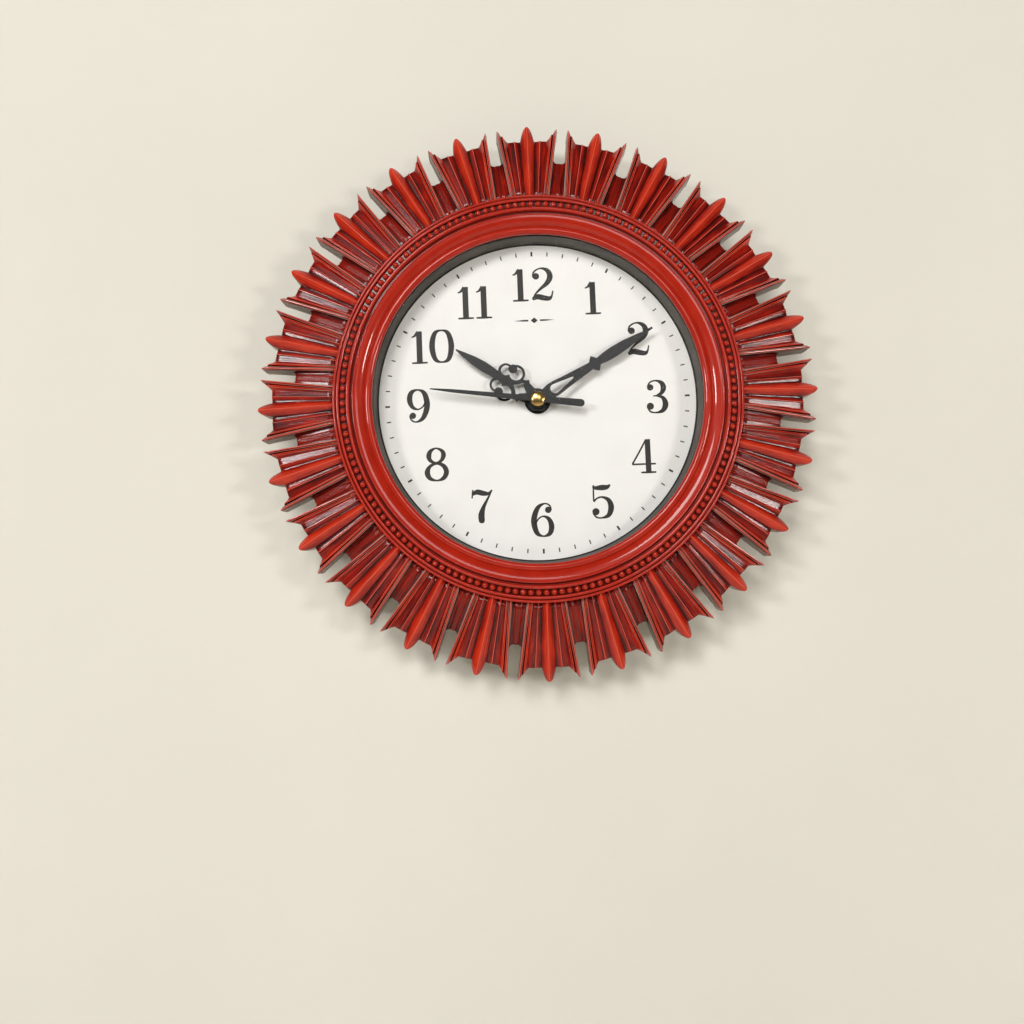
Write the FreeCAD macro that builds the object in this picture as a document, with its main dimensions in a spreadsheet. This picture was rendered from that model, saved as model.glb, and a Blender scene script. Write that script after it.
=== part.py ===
import FreeCAD, Part
import math
import os
import re
import Sketcher

# Sunburst wall clock, in millimetres.
# X is to the right and Z is up for someone facing the dial. The wall is the plane Y = 0 and the dial faces -Y.
# The origin is where the axis of the hands meets the wall. A depth is a distance out from the wall.

DRIVING = {
    # plan of the sunburst
    "petal_count": 24,
    "finial_radius": 150.0,
    "spike_radius": 148.4,
    "shoulder_radius": 142.7,
    "notch_radius": 130.2,
    "petal_inner_radius": 108.5,
    "finial_half_width": 3.7,
    "shoulder_half_width": 10.9,
    "ridge_half_width": 15.3,
    "ridge_half_width_inner": 9.7,
    "rib_half_width_inner": 2.3,
    "shell_thickness": 2.0,
    "notch_corner_radius": 1.6,
    "overcut": 1.0,
    # heights of the sunburst's front, as depths from the wall
    "skirt_depth": 15.0,
    "crest_depth_outer": 28.6,
    "crest_depth_inner": 34.6,
    "rib_depth_outer": 27.0,
    "rib_depth_inner": 33.4,
    "flute_depth_outer": 25.8,
    "flute_depth_inner": 32.6,
    "ridge_depth_outer": 28.3,
    "ridge_depth_inner": 34.3,
    "valley_depth_outer": 21.8,
    "valley_depth_inner": 30.8,
    "flange_inner_radius": 94.2,
    "flange_back_depth": 21.2,
    "flange_front_depth": 23.0,
    # bezel
    "lip_radius": 87.7,
    "lip_outer_radius": 91.8,
    "ovolo_outer_radius": 96.9,
    "bead_radius": 102.7,
    "bead_diameter": 3.4,
    "bead_count": 160,
    "bead_depth": 36.4,
    "bezel_radius": 108.1,
    "bezel_wall": 2.0,
    "lip_crest_depth": 35.8,
    "rim_crest_depth": 39.0,
    "bezel_edge_depth": 37.2,
    # dial stack
    "dial_depth": 22.0,
    "card_radius": 91.4,
    "card_thickness": 0.8,
    "glass_back_depth": 31.2,
    "glass_front_depth": 33.2,
    "spacer_back_radius": 86.7,
    "bush_hole_radius": 4.15,
    # back pan
    "pan_radius": 106.0,
    "pan_back_depth": 19.0,
    "pan_rim_radius": 90.0,
    "pan_rim_wall": 2.0,
    # screws
    "screw_circle_radius": 99.8,
    "screw_count": 6,
    "screw_head_radius": 3.0,
    "screw_head_height": 2.0,
    "screw_dome": 0.7,
    "screw_shank_radius": 1.4,
    "screw_length": 11.0,
    "boss_radius": 3.5,
    "pilot_radius": 1.5,
    "clearance_radius": 1.7,
    # hanger
    "hanger_height": 72.0,
    "hanger_width": 44.0,
    "hanger_tall": 22.0,
    "hanger_thickness": 1.5,
    "hanger_back_depth": 2.2,
    "keyhole_radius": 4.5,
    "keyhole_slot_width": 4.4,
    "keyhole_slot_length": 9.0,
    "hanger_post_spacing": 34.0,
    "hanger_post_radius": 4.0,
    "hanger_screw_length": 6.0,
    # movement housing
    "movement_width": 56.0,
    "movement_back_depth": 2.0,
    "movement_front_depth": 18.0,
    "movement_split_depth": 13.0,
    "movement_wall": 1.2,
    "bush_radius": 4.0,
    "bush_length": 6.5,
    "bush_bore_radius": 2.65,
    "partition_height": 10.6,
    "battery_height": 19.3,
    "battery_radius": 7.1,
    "battery_length": 49.0,
    "battery_axis_depth": 9.6,
    # arbors and tubes
    "seconds_arbor_radius": 0.5,
    "cannon_radius": 1.5,
    "hour_tube_radius": 2.6,
    "running_clearance": 0.05,
    "arbor_radius": 0.45,
    # gear modules and centre distances
    "fine_module": 0.25,
    "rotor_distance": 9.0,
    "seconds_module": 0.3,
    "seconds_distance": 10.5,
    "third_distance": 10.8,
    "motion_module": 0.35,
    "motion_distance": 8.4,
    "tooth_share": 0.34,
    # where the wheels and pinions lie, as depths from the wall
    "wheel_face": 0.9,
    "pinion_face": 1.9,
    "magnet_radius": 3.0,
    "magnet_depth": 8.6,
    "magnet_length": 2.5,
    "rotor_pinion_depth": 6.8,
    "rotor_pinion_face": 1.3,
    "intermediate_disc_depth": 7.0,
    "intermediate_pinion_depth": 7.8,
    "intermediate_pinion_face": 2.1,
    "seconds_disc_depth": 8.8,
    "seconds_pinion_depth": 9.6,
    "third_disc_depth": 10.5,
    "third_pinion_depth": 11.3,
    "centre_disc_depth": 12.2,
    "cannon_back_depth": 11.8,
    "cannon_teeth_depth": 13.8,
    "cannon_teeth_face": 1.4,
    "motion_disc_depth": 14.0,
    "motion_disc_face": 1.0,
    "motion_pinion_depth": 15.0,
    "motion_pinion_face": 1.5,
    "hour_disc_depth": 15.6,
    "knob_back_depth": 0.4,
    "knob_thickness": 1.3,
    "knob_radius": 4.5,
    "knob_ridge_count": 20,
    # hands
    "hour_hand_length": 52.0,
    "minute_hand_length": 73.0,
    "second_hand_length": 58.0,
    "second_tail_length": 25.0,
    "hand_boss_radius": 6.0,
    "hand_thickness": 0.5,
    "hour_hand_depth": 25.2,
    "minute_hand_depth": 27.0,
    "second_hand_depth": 28.6,
    "cap_radius": 4.0,
    "cap_rise": 1.4,
}

# Dial angles, in degrees clockwise from twelve as the reader of the dial sees them.
HOUR_ANGLE = 304.1
MINUTE_ANGLE = 59.9
SECOND_ANGLE = 277.6
INTERMEDIATE_ANGLE = 265.0
ROTOR_ANGLE = 300.0
THIRD_ANGLE = 30.0
MOTION_ANGLE = 105.0
KNOB_ANGLE = 65.0

doc = FreeCAD.newDocument("SunburstWallClock")
sheet = doc.addObject("Spreadsheet::Sheet", "Sizes")


def fill_sheet():
    for row, (alias, value) in enumerate(DRIVING.items(), start=1):
        sheet.set(f"A{row}", alias)
        sheet.set(f"B{row}", str(value))
        sheet.setAlias(f"B{row}", alias)
    doc.recompute()


def bound(expression):
    """The expression with each alias written as a reference to the sheet."""
    def reference(match):
        word = match.group()
        return f"Sizes.{word}" if word in DRIVING else word
    return re.sub(r"[a-z_]+", reference, str(expression))


def value(expression):
    return float(sheet.evalExpression(bound(expression)))


def new_body(label):
    return doc.addObject("PartDesign::Body", label)


def origin_feature(body, role):
    return next(feature for feature in body.Origin.OriginFeatures if feature.Role == role)


def front_sketch(body, name, depth, turn=0.0):
    """A sketch parallel to the wall, seen from the front: x to the right, y up."""
    sketch = body.newObject("Sketcher::SketchObject", name)
    sketch.AttachmentSupport = [(origin_feature(body, "XZ_Plane"), "")]
    sketch.MapMode = "FlatFace"
    sketch.AttachmentOffset = FreeCAD.Placement(
        FreeCAD.Vector(0, 0, value(depth)), FreeCAD.Rotation(FreeCAD.Vector(0, 0, 1), -turn))
    sketch.setExpression("AttachmentOffset.Base.z", bound(depth))
    return sketch


def side_sketch(body, name):
    """A sketch in the half plane of a turned profile: x is the depth, y is the radius."""
    sketch = body.newObject("Sketcher::SketchObject", name)
    sketch.AttachmentSupport = [(origin_feature(body, "YZ_Plane"), "")]
    sketch.MapMode = "FlatFace"
    sketch.AttachmentOffset = FreeCAD.Placement(
        FreeCAD.Vector(0, 0, 0), FreeCAD.Rotation(FreeCAD.Vector(0, 1, 0), 180))
    return sketch


def level_sketch(body, name, height):
    """A horizontal sketch at a height: x to the right, y towards the wall."""
    sketch = body.newObject("Sketcher::SketchObject", name)
    sketch.AttachmentSupport = [(origin_feature(body, "XY_Plane"), "")]
    sketch.MapMode = "FlatFace"
    sketch.AttachmentOffset = FreeCAD.Placement(FreeCAD.Vector(0, 0, value(height)), FreeCAD.Rotation())
    sketch.setExpression("AttachmentOffset.Base.z", bound(height))
    return sketch


def fix(sketch, constraint, expression):
    index = sketch.addConstraint(constraint)
    sketch.setExpression(f"Constraints[{index}]", bound(expression))


def fix_point(sketch, geometry, end, point):
    for kind, expression in zip(("DistanceX", "DistanceY"), point):
        fix(sketch, Sketcher.Constraint(kind, -1, 1, geometry, end, value(expression)), expression)


def arc_between(start, end, radius):
    """The minor arc from start to end. A positive radius bulges to the right of the way there."""
    chord = end - start
    middle = (start + end) * 0.5
    right = FreeCAD.Vector(chord.y, -chord.x, 0).normalize()
    rise = abs(radius) - math.sqrt(max(radius ** 2 - chord.Length ** 2 / 4, 0.0))
    return Part.Arc(start, middle + right * math.copysign(rise, radius), end)


def outline(sketch, points):
    """A closed outline. A point (x, y) ends a line; (x, y, radius) ends an arc."""
    places = [FreeCAD.Vector(value(point[0]), value(point[1]), 0) for point in points]
    first = sketch.GeometryCount
    count = len(points)
    for i, point in enumerate(points):
        start, end = places[i - 1], places[i]
        edge = arc_between(start, end, value(point[2])) if len(point) > 2 else Part.LineSegment(start, end)
        sketch.addGeometry(edge, False)
    ends = []
    for i, point in enumerate(points):
        radius = value(point[2]) if len(point) > 2 else 0.0
        ends.append((1, 2) if radius >= 0 else (2, 1))
    for i, point in enumerate(points):
        after = (i + 1) % count
        sketch.addConstraint(
            Sketcher.Constraint("Coincident", first + i, ends[i][1], first + after, ends[after][0]))
        fix_point(sketch, first + i, ends[i][1], point[:2])
        if len(point) > 2:
            size = point[2] if value(point[2]) > 0 else f"-({point[2]})"
            fix(sketch, Sketcher.Constraint("Radius", first + i, value(size)), size)


def circle(sketch, x, y, radius):
    centre = FreeCAD.Vector(value(x), value(y), 0)
    index = sketch.addGeometry(Part.Circle(centre, FreeCAD.Vector(0, 0, 1), value(radius)), False)
    fix_point(sketch, index, 3, (x, y))
    fix(sketch, Sketcher.Constraint("Radius", index, value(radius)), radius)


def dome_radius(radius, rise):
    """The radius of the arc that rises over a round base to a flat top on the axis."""
    return f"({radius} * {radius} + {rise} * {rise}) / (2 * {rise})"


def box_points(width, tall, x="0", y="0"):
    left, right = f"{x} - ({width}) / 2", f"{x} + ({width}) / 2"
    low, high = f"{y} - ({tall}) / 2", f"{y} + ({tall}) / 2"
    return [(left, low), (right, low), (right, high), (left, high)]


def turned(label, points):
    body = new_body(label)
    add_turned(body, label + "_profile", points)
    return body


def add_turned(body, name, points, kind="PartDesign::Revolution"):
    sketch = side_sketch(body, name)
    outline(sketch, points)
    feature = body.newObject(kind, name + "_turn")
    feature.Profile = sketch
    feature.ReferenceAxis = (origin_feature(body, "Y_Axis"), [""])
    feature.Angle = 360
    return feature


def extrude(body, name, depth, length, outlines=(), circles=(), cut=False, turn=0.0):
    """Adds (or cuts) a straight prism that starts at a depth and runs towards the front."""
    sketch = front_sketch(body, name, depth, turn)
    for points in outlines:
        outline(sketch, points)
    for x, y, radius in circles:
        circle(sketch, x, y, radius)
    feature = body.newObject("PartDesign::Pocket" if cut else "PartDesign::Pad", name + "_step")
    feature.Profile = sketch
    feature.Length = value(length)
    feature.setExpression("Length", bound(length))
    feature.Reversed = cut
    return feature


def repeat(body, features, count):
    pattern = body.newObject("PartDesign::PolarPattern", features[0].Name + "_pattern")
    pattern.Originals = features
    pattern.Axis = (origin_feature(body, "Y_Axis"), [""])
    pattern.Angle = 360
    pattern.Occurrences = int(value(count))
    if str(count) in DRIVING:
        pattern.setExpression("Occurrences", bound(count))
    body.Tip = pattern
    return pattern


def loft(body, name, inner, outer, cut=False):
    """A straight-sided loft between the same outline at two heights above the hands' axis."""
    sketches = []
    for end, (height, points) in (("inner", inner), ("outer", outer)):
        sketch = level_sketch(body, f"{name}_{end}", height)
        outline(sketch, points)
        sketches.append(sketch)
    feature = body.newObject("PartDesign::SubtractiveLoft" if cut else "PartDesign::AdditiveLoft", name)
    feature.Profile = sketches[0]
    feature.Sections = [sketches[1]]
    feature.Ruled = True
    return feature


# ---------------------------------------------------------------- case

HALF_PITCH = "tan(180 deg / petal_count)"


def between(inner, outer, height):
    """A size that runs straight from its inner value at the bezel to its outer value at the shoulders."""
    share = f"(({height}) - petal_inner_radius) / (shoulder_radius - petal_inner_radius)"
    return f"{inner} + ({outer} - {inner}) * {share}"


def pleat_points(height):
    """Half of the folded front of one petal, from its crest to the valley, then its mirror image."""
    rib = between("rib_half_width_inner", "finial_half_width", height)
    ridge = between("ridge_half_width_inner", "ridge_half_width", height)
    flute = f"(({rib}) + ({ridge})) * 0.56"
    foot = f"({ridge}) + 0.5"
    edge = f"({height}) * {HALF_PITCH}"
    half = [
        (rib, between("rib_depth_inner", "rib_depth_outer", height)),
        (flute, between("flute_depth_inner", "flute_depth_outer", height)),
        (ridge, between("ridge_depth_inner", "ridge_depth_outer", height)),
        (foot, between("valley_depth_inner", "valley_depth_outer", height)),
        (edge, between("valley_depth_inner", "valley_depth_outer", height)),
        (edge, "skirt_depth"),
    ]
    right = [(x, f"-({depth})") for x, depth in half]
    left = [(f"-({x})", y) for x, y in reversed(right)]
    crest = ("0", f"-({between('crest_depth_inner', 'crest_depth_outer', height)})")
    return left + [crest] + right


def petal_hollow(height):
    """The space under the folds of one petal, one wall thickness inside its ridges."""
    ridge = f"({between('ridge_half_width_inner', 'ridge_half_width', height)}) - shell_thickness"
    flute = f"({ridge}) * 0.62"
    depths = [between(f"{name}_depth_inner", f"{name}_depth_outer", height) for name in ("crest", "flute")]
    crest, low = [f"-({depth}) + shell_thickness" for depth in depths]
    behind = "overcut - skirt_depth"
    return [(f"-({ridge})", behind), (f"-({ridge})", low), (f"-({flute})", low), ("0", crest),
            (flute, low), (ridge, low), (ridge, behind)]


def valley_hollow(height):
    """The space behind the valley floor, the whole width of one petal."""
    edge = f"({height}) * {HALF_PITCH}"
    top = f"-({between('valley_depth_inner', 'valley_depth_outer', height)}) + shell_thickness"
    behind = "overcut - skirt_depth"
    return [(f"-({edge})", behind), (f"-({edge})", top), (edge, top), (edge, behind)]


def petal_outline():
    """What is left away outside one petal: two half notches, two spikes, two shoulders and the finial."""
    outside = "finial_radius + 6"
    beyond = f"({outside}) * {HALF_PITCH}"
    floor_edge = f"notch_radius * {HALF_PITCH}"
    slope = "(ridge_half_width - ridge_half_width_inner) / (shoulder_radius - petal_inner_radius)"
    spike_tip = f"ridge_half_width + (spike_radius - shoulder_radius) * {slope}"
    wall_foot = f"ridge_half_width - (shoulder_radius - notch_radius - notch_corner_radius) * {slope} + 0.5"
    corner_end = f"({wall_foot}) + notch_corner_radius"
    right = [
        ("finial_half_width", "shoulder_radius"),
        ("shoulder_half_width", "shoulder_radius"),
        (spike_tip, "spike_radius"),
        (wall_foot, "notch_radius + notch_corner_radius"),
        (corner_end, "notch_radius", "notch_corner_radius"),
        (floor_edge, "notch_radius"),
        (beyond, outside),
    ]
    left = [(f"-({beyond})", outside), (f"-({floor_edge})", "notch_radius"),
            (f"-({corner_end})", "notch_radius"), (f"-({wall_foot})", "notch_radius + notch_corner_radius", "notch_corner_radius"),
            (f"-({spike_tip})", "spike_radius"), ("-shoulder_half_width", "shoulder_radius"),
            ("-finial_half_width", "shoulder_radius"), ("-finial_half_width * 0.72", "finial_radius - 2.4"),
            ("0", "finial_radius", "-finial_half_width * 1.05"),
            ("finial_half_width * 0.72", "finial_radius - 2.4", "-finial_half_width * 1.05")]
    return left + right


def make_sunburst():
    body = new_body("sunburst")
    outside = "finial_radius + 4"
    loft(body, "petal", ("petal_inner_radius", pleat_points("petal_inner_radius")),
         (outside, pleat_points(outside)))
    extrude(body, "petal_trim", "skirt_depth - 2", "24", [petal_outline()], cut=True)
    start = "petal_inner_radius + shell_thickness"
    under_petal = "shoulder_radius - shell_thickness"
    under_valley = "notch_radius - shell_thickness"
    loft(body, "petal_hollow", (start, petal_hollow(start)), (under_petal, petal_hollow(under_petal)), True)
    floor = loft(body, "valley_hollow", (start, valley_hollow(start)),
                 (under_valley, valley_hollow(under_valley)), True)
    doc.recompute()
    ring = repeat(body, [floor], "petal_count")
    ring.TransformMode = "Whole shape"
    doc.recompute()
    add_turned(body, "flange", [
        ("flange_back_depth", "flange_inner_radius"),
        ("flange_back_depth", "petal_inner_radius + 1.5"),
        ("flange_front_depth", "petal_inner_radius + 1.5"),
        ("flange_front_depth", "flange_inner_radius"),
    ])
    hole = extrude(body, "flange_hole", "flange_back_depth - 1", "4",
                   circles=[("0", "screw_circle_radius", "clearance_radius")], cut=True)
    repeat(body, [hole], "screw_count")


def make_bezel():
    body = new_body("bezel")
    floor = "bead_depth - 0.7"
    add_turned(body, "moulding", [
        ("glass_front_depth", "lip_radius"),
        ("lip_crest_depth - 1.2", "lip_radius"),
        ("lip_crest_depth - 1.4", "lip_outer_radius", "2.3"),
        ("rim_crest_depth - 2.4", "ovolo_outer_radius", "7.0"),
        ("rim_crest_depth - 2.2", "ovolo_outer_radius + 1.0", "0.62"),
        ("rim_crest_depth - 2.9", "ovolo_outer_radius + 1.3"),
        ("rim_crest_depth - 2.9", "ovolo_outer_radius + 1.9"),
        ("rim_crest_depth - 1.2", "ovolo_outer_radius + 2.2"),
        ("rim_crest_depth - 1.2", "bead_radius - 1.7", "1.15"),
        (floor, "bead_radius - 1.6"),
        (floor, "bead_radius + 1.6"),
        ("bezel_edge_depth - 0.2", "bead_radius + 1.8"),
        ("bezel_edge_depth - 0.2", "bead_radius + 3.5", "1.0"),
        ("bezel_edge_depth - 1.2", "bead_radius + 3.7"),
        ("bezel_edge_depth - 0.8", "bead_radius + 4.1"),
        ("bezel_edge_depth - 0.9", "bezel_radius", "0.75"),
        ("flange_front_depth", "bezel_radius"),
        ("flange_front_depth", "bezel_radius - bezel_wall"),
        ("bead_depth - bezel_wall - 0.7", "bezel_radius - bezel_wall"),
        ("glass_front_depth", "ovolo_outer_radius - 1"),
        ("glass_front_depth - 1", "lip_outer_radius + bezel_wall"),
        ("flange_back_depth", "lip_outer_radius + bezel_wall"),
        ("flange_back_depth", "lip_outer_radius"),
        ("glass_front_depth", "lip_outer_radius"),
    ])
    post = extrude(body, "screw_post", "flange_front_depth", "11.5",
                   circles=[("0", "screw_circle_radius", "boss_radius")])
    pilot = extrude(body, "screw_pilot", "flange_front_depth - 1", "10.5",
                    circles=[("0", "screw_circle_radius", "pilot_radius")], cut=True)
    doc.recompute()
    repeat(body, [post, pilot], "screw_count")
    bead_sketch = front_sketch(body, "bead_arc", "bead_depth")
    top = FreeCAD.Vector(0, value("bead_radius + bead_diameter / 2"), 0)
    low = FreeCAD.Vector(0, value("bead_radius - bead_diameter / 2"), 0)
    side = FreeCAD.Vector(value("bead_diameter / 2"), value("bead_radius"), 0)
    bead_sketch.addGeometry(Part.Arc(low, side, top), False)
    bead_sketch.addGeometry(Part.LineSegment(top, low), False)
    bead_sketch.addConstraint(Sketcher.Constraint("Coincident", 1, 1, 0, 2))
    bead_sketch.addConstraint(Sketcher.Constraint("Coincident", 1, 2, 0, 1))
    bead_sketch.addConstraint(Sketcher.Constraint("PointOnObject", 0, 1, -2))
    bead_sketch.addConstraint(Sketcher.Constraint("PointOnObject", 0, 2, -2))
    fix_point(bead_sketch, 0, 3, ("0", "bead_radius"))
    fix(bead_sketch, Sketcher.Constraint("Radius", 0, value("bead_diameter / 2")), "bead_diameter / 2")
    bead = body.newObject("PartDesign::Revolution", "bead")
    bead.Profile = bead_sketch
    bead.ReferenceAxis = (bead_sketch, ["V_Axis"])
    bead.Angle = 360
    doc.recompute()
    repeat(body, [bead], "bead_count")


def make_dial_stack():
    turned("glass", [
        ("glass_back_depth", "0"),
        ("glass_back_depth", "card_radius"),
        ("glass_front_depth", "card_radius"),
        ("glass_front_depth", "0"),
    ])
    turned("spacer_ring", [
        ("dial_depth", "spacer_back_radius"),
        ("dial_depth", "card_radius"),
        ("dial_depth + 1", "card_radius"),
        ("dial_depth + 1", "spacer_back_radius + 1.4"),
        ("glass_back_depth - 1", "lip_radius + 1.4"),
        ("glass_back_depth - 1", "card_radius"),
        ("glass_back_depth", "card_radius"),
        ("glass_back_depth", "lip_radius"),
    ])
    turned("dial_card", [
        ("dial_depth - card_thickness", "bush_hole_radius"),
        ("dial_depth - card_thickness", "card_radius"),
        ("dial_depth", "card_radius"),
        ("dial_depth", "bush_hole_radius"),
    ])


def make_back_pan():
    body = turned("back_pan", [
        ("pan_back_depth", "bush_hole_radius"),
        ("pan_back_depth", "pan_rim_radius - pan_rim_wall"),
        ("0", "pan_rim_radius - pan_rim_wall"),
        ("0", "pan_rim_radius"),
        ("pan_back_depth", "pan_rim_radius"),
        ("pan_back_depth", "pan_radius"),
        ("flange_back_depth", "pan_radius"),
        ("flange_back_depth", "bush_hole_radius"),
    ])
    hole = extrude(body, "pan_hole", "pan_back_depth - 1", "5",
                   circles=[("0", "screw_circle_radius", "clearance_radius")], cut=True)
    doc.recompute()
    repeat(body, [hole], "screw_count")
    posts = "hanger_back_depth + hanger_thickness"
    places = [("-hanger_post_spacing / 2", "hanger_height"), ("hanger_post_spacing / 2", "hanger_height")]
    extrude(body, "hanger_posts", posts, f"pan_back_depth - ({posts})",
            circles=[(x, z, "hanger_post_radius") for x, z in places])
    extrude(body, "hanger_pilots", posts, "8", circles=[(x, z, "pilot_radius") for x, z in places], cut=True)


def make_hanger():
    body = new_body("hanger_plate")
    slot_top = "hanger_height + keyhole_slot_length - 3"
    hole = "hanger_height - 3"
    half = "keyhole_slot_width / 2"
    meet = f"{hole} + sqrt(keyhole_radius * keyhole_radius - keyhole_slot_width * keyhole_slot_width / 4)"
    keyhole = [
        (half, slot_top),
        ("0", f"{slot_top} + {half}", half),
        (f"-{half}", slot_top, half),
        (f"-{half}", meet),
        ("-keyhole_radius", hole, "keyhole_radius"),
        ("0", f"{hole} - keyhole_radius", "keyhole_radius"),
        ("keyhole_radius", hole, "keyhole_radius"),
        (half, meet, "keyhole_radius"),
    ]
    extrude(body, "plate", "hanger_back_depth", "hanger_thickness",
            [box_points("hanger_width", "hanger_tall", "0", "hanger_height"), keyhole],
            [("-hanger_post_spacing / 2", "hanger_height", "clearance_radius"),
             ("hanger_post_spacing / 2", "hanger_height", "clearance_radius")])


def screw(label, x, z, head_back, length):
    """A round-headed screw that points to the front."""
    body = turned(label, [
        (f"{head_back}", "0"),
        (f"{head_back} + screw_dome", "screw_head_radius",
         "-" + dome_radius("screw_head_radius", "screw_dome")),
        (f"{head_back} + screw_head_height", "screw_head_radius"),
        (f"{head_back} + screw_head_height", "screw_shank_radius"),
        (f"{head_back} + screw_head_height + {length} - 1", "screw_shank_radius"),
        (f"{head_back} + screw_head_height + {length}", "0"),
    ])
    body.Placement = FreeCAD.Placement(FreeCAD.Vector(x, 0, z), FreeCAD.Rotation())
    return body


def group(label, members):
    """Several identical pieces as separate solids of one sub-part."""
    compound = doc.addObject("Part::Compound", label)
    compound.Links = members
    return compound


def make_screws():
    radius = value("screw_circle_radius")
    count = int(value("screw_count"))
    screws = []
    for i in range(count):
        angle = 2 * math.pi * i / count
        screws.append(screw(f"case_screw_{i + 1}", radius * math.sin(angle), radius * math.cos(angle),
                            "pan_back_depth - screw_head_height", "screw_length"))
    group("case_screws", screws)
    half = value("hanger_post_spacing") / 2
    height = value("hanger_height")
    head_back = "hanger_back_depth - screw_head_height"
    pair = [screw(f"hanger_screw_{name}", x, height, head_back, "hanger_screw_length")
            for name, x in (("left", -half), ("right", half))]
    group("hanger_screws", pair)


fill_sheet()


# ---------------------------------------------------------------- movement

CENTRE = (0.0, 0.0)


def place(centre, distance, dial_angle):
    angle = math.radians(dial_angle)
    reach = value(distance)
    return centre[0] + reach * math.sin(angle), centre[1] + reach * math.cos(angle)


INTERMEDIATE = place(CENTRE, "seconds_distance", INTERMEDIATE_ANGLE)
ROTOR = place(INTERMEDIATE, "rotor_distance", ROTOR_ANGLE)
THIRD = place(CENTRE, "third_distance", THIRD_ANGLE)
MOTION = place(CENTRE, "motion_distance", MOTION_ANGLE)
KNOB = place(MOTION, "motion_distance", KNOB_ANGLE)

INNER_WIDTH = "movement_width - 2 * movement_wall"


def make_movement_case():
    front = new_body("movement_front")
    extrude(front, "front_wall", "movement_front_depth - movement_wall", "movement_wall",
            [box_points("movement_width", "movement_width")], [("0", "0", "bush_bore_radius")])
    extrude(front, "front_sides", "movement_split_depth",
            "movement_front_depth - movement_split_depth - movement_wall",
            [box_points("movement_width", "movement_width"), box_points(INNER_WIDTH, INNER_WIDTH)])
    extrude(front, "bush", "movement_front_depth", "bush_length", circles=[("0", "0", "bush_radius")])
    extrude(front, "bush_bore", "movement_front_depth - 2", "bush_length + 4",
            circles=[("0", "0", "bush_bore_radius")], cut=True)
    extrude(front, "motion_post", "movement_front_depth - 4.2", "4.2 - movement_wall",
            circles=[(str(MOTION[0]), str(MOTION[1]), "arbor_radius * 1.6")])
    rear = new_body("movement_rear")
    extrude(rear, "rear_wall", "movement_back_depth", "movement_wall",
            [box_points("movement_width", "movement_width")],
            [(str(KNOB[0]), str(KNOB[1]), "cannon_radius + running_clearance")])
    extrude(rear, "rear_sides", "movement_back_depth + movement_wall",
            "movement_split_depth - movement_back_depth - movement_wall",
            [box_points("movement_width", "movement_width"), box_points(INNER_WIDTH, INNER_WIDTH)])
    wall_middle = "-partition_height - movement_wall / 2"
    extrude(rear, "partition", "movement_back_depth + movement_wall",
            "movement_split_depth - movement_back_depth - movement_wall",
            [box_points(INNER_WIDTH + " + 0.4", "movement_wall", "0", wall_middle)])
    bay_tall = "movement_width / 2 - movement_wall * 2 - partition_height"
    bay_middle = "-(partition_height + movement_width / 2) / 2"
    extrude(rear, "battery_door_opening", "movement_back_depth - 1", "movement_wall + 2",
            [box_points(INNER_WIDTH, bay_tall, "0", bay_middle)], cut=True)


def toothed_wheel(body, name, teeth, module, back, length, tooth_angle=0.0):
    """A toothed disc. tooth_angle is the dial angle of the middle of one tooth."""
    root = f"{module} * ({teeth} / 2 - 0.95)"
    tip = f"{module} * ({teeth} / 2 + 0.7)"
    half_root = f"{module} * tooth_share * pi / 2 * 1.35"
    half_tip = f"{module} * tooth_share * pi / 2 * 0.55"
    foot = f"({root}) - {module} * 0.3"
    extrude(body, f"{name}_disc", back, length, circles=[("0", "0", root)])
    tooth = extrude(body, f"{name}_tooth", back, length,
                    [[(f"-({half_root})", foot), (half_root, foot), (half_tip, tip), (f"-({half_tip})", tip)]],
                    turn=tooth_angle)
    doc.recompute()
    repeat(body, [tooth], teeth)


def follower_tooth(leader_teeth, leader_tooth, direction, follower_teeth):
    """The dial angle of a follower's tooth that puts a gap where the leader's tooth stands."""
    leader_pitch = 360.0 / leader_teeth
    offset = ((direction - leader_tooth) % leader_pitch) / leader_pitch
    return direction + 180.0 + (offset + 0.5) * 360.0 / follower_teeth


def put(body, centre, dial_angle=0.0):
    body.Placement = FreeCAD.Placement(FreeCAD.Vector(centre[0], 0, centre[1]),
                                       FreeCAD.Rotation(FreeCAD.Vector(0, 1, 0), dial_angle))


def arbor(body, name, back, front, radius="arbor_radius"):
    extrude(body, name, back, f"({front}) - ({back})", circles=[("0", "0", radius)])


def bore(body, name, radius, back="0", front="60"):
    extrude(body, name, back, f"({front}) - ({back})", circles=[("0", "0", radius)], cut=True)


REAR_PIVOT = "movement_back_depth + movement_wall + 0.1"
FRONT_PIVOT = "movement_front_depth - movement_wall - 0.1"


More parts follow.
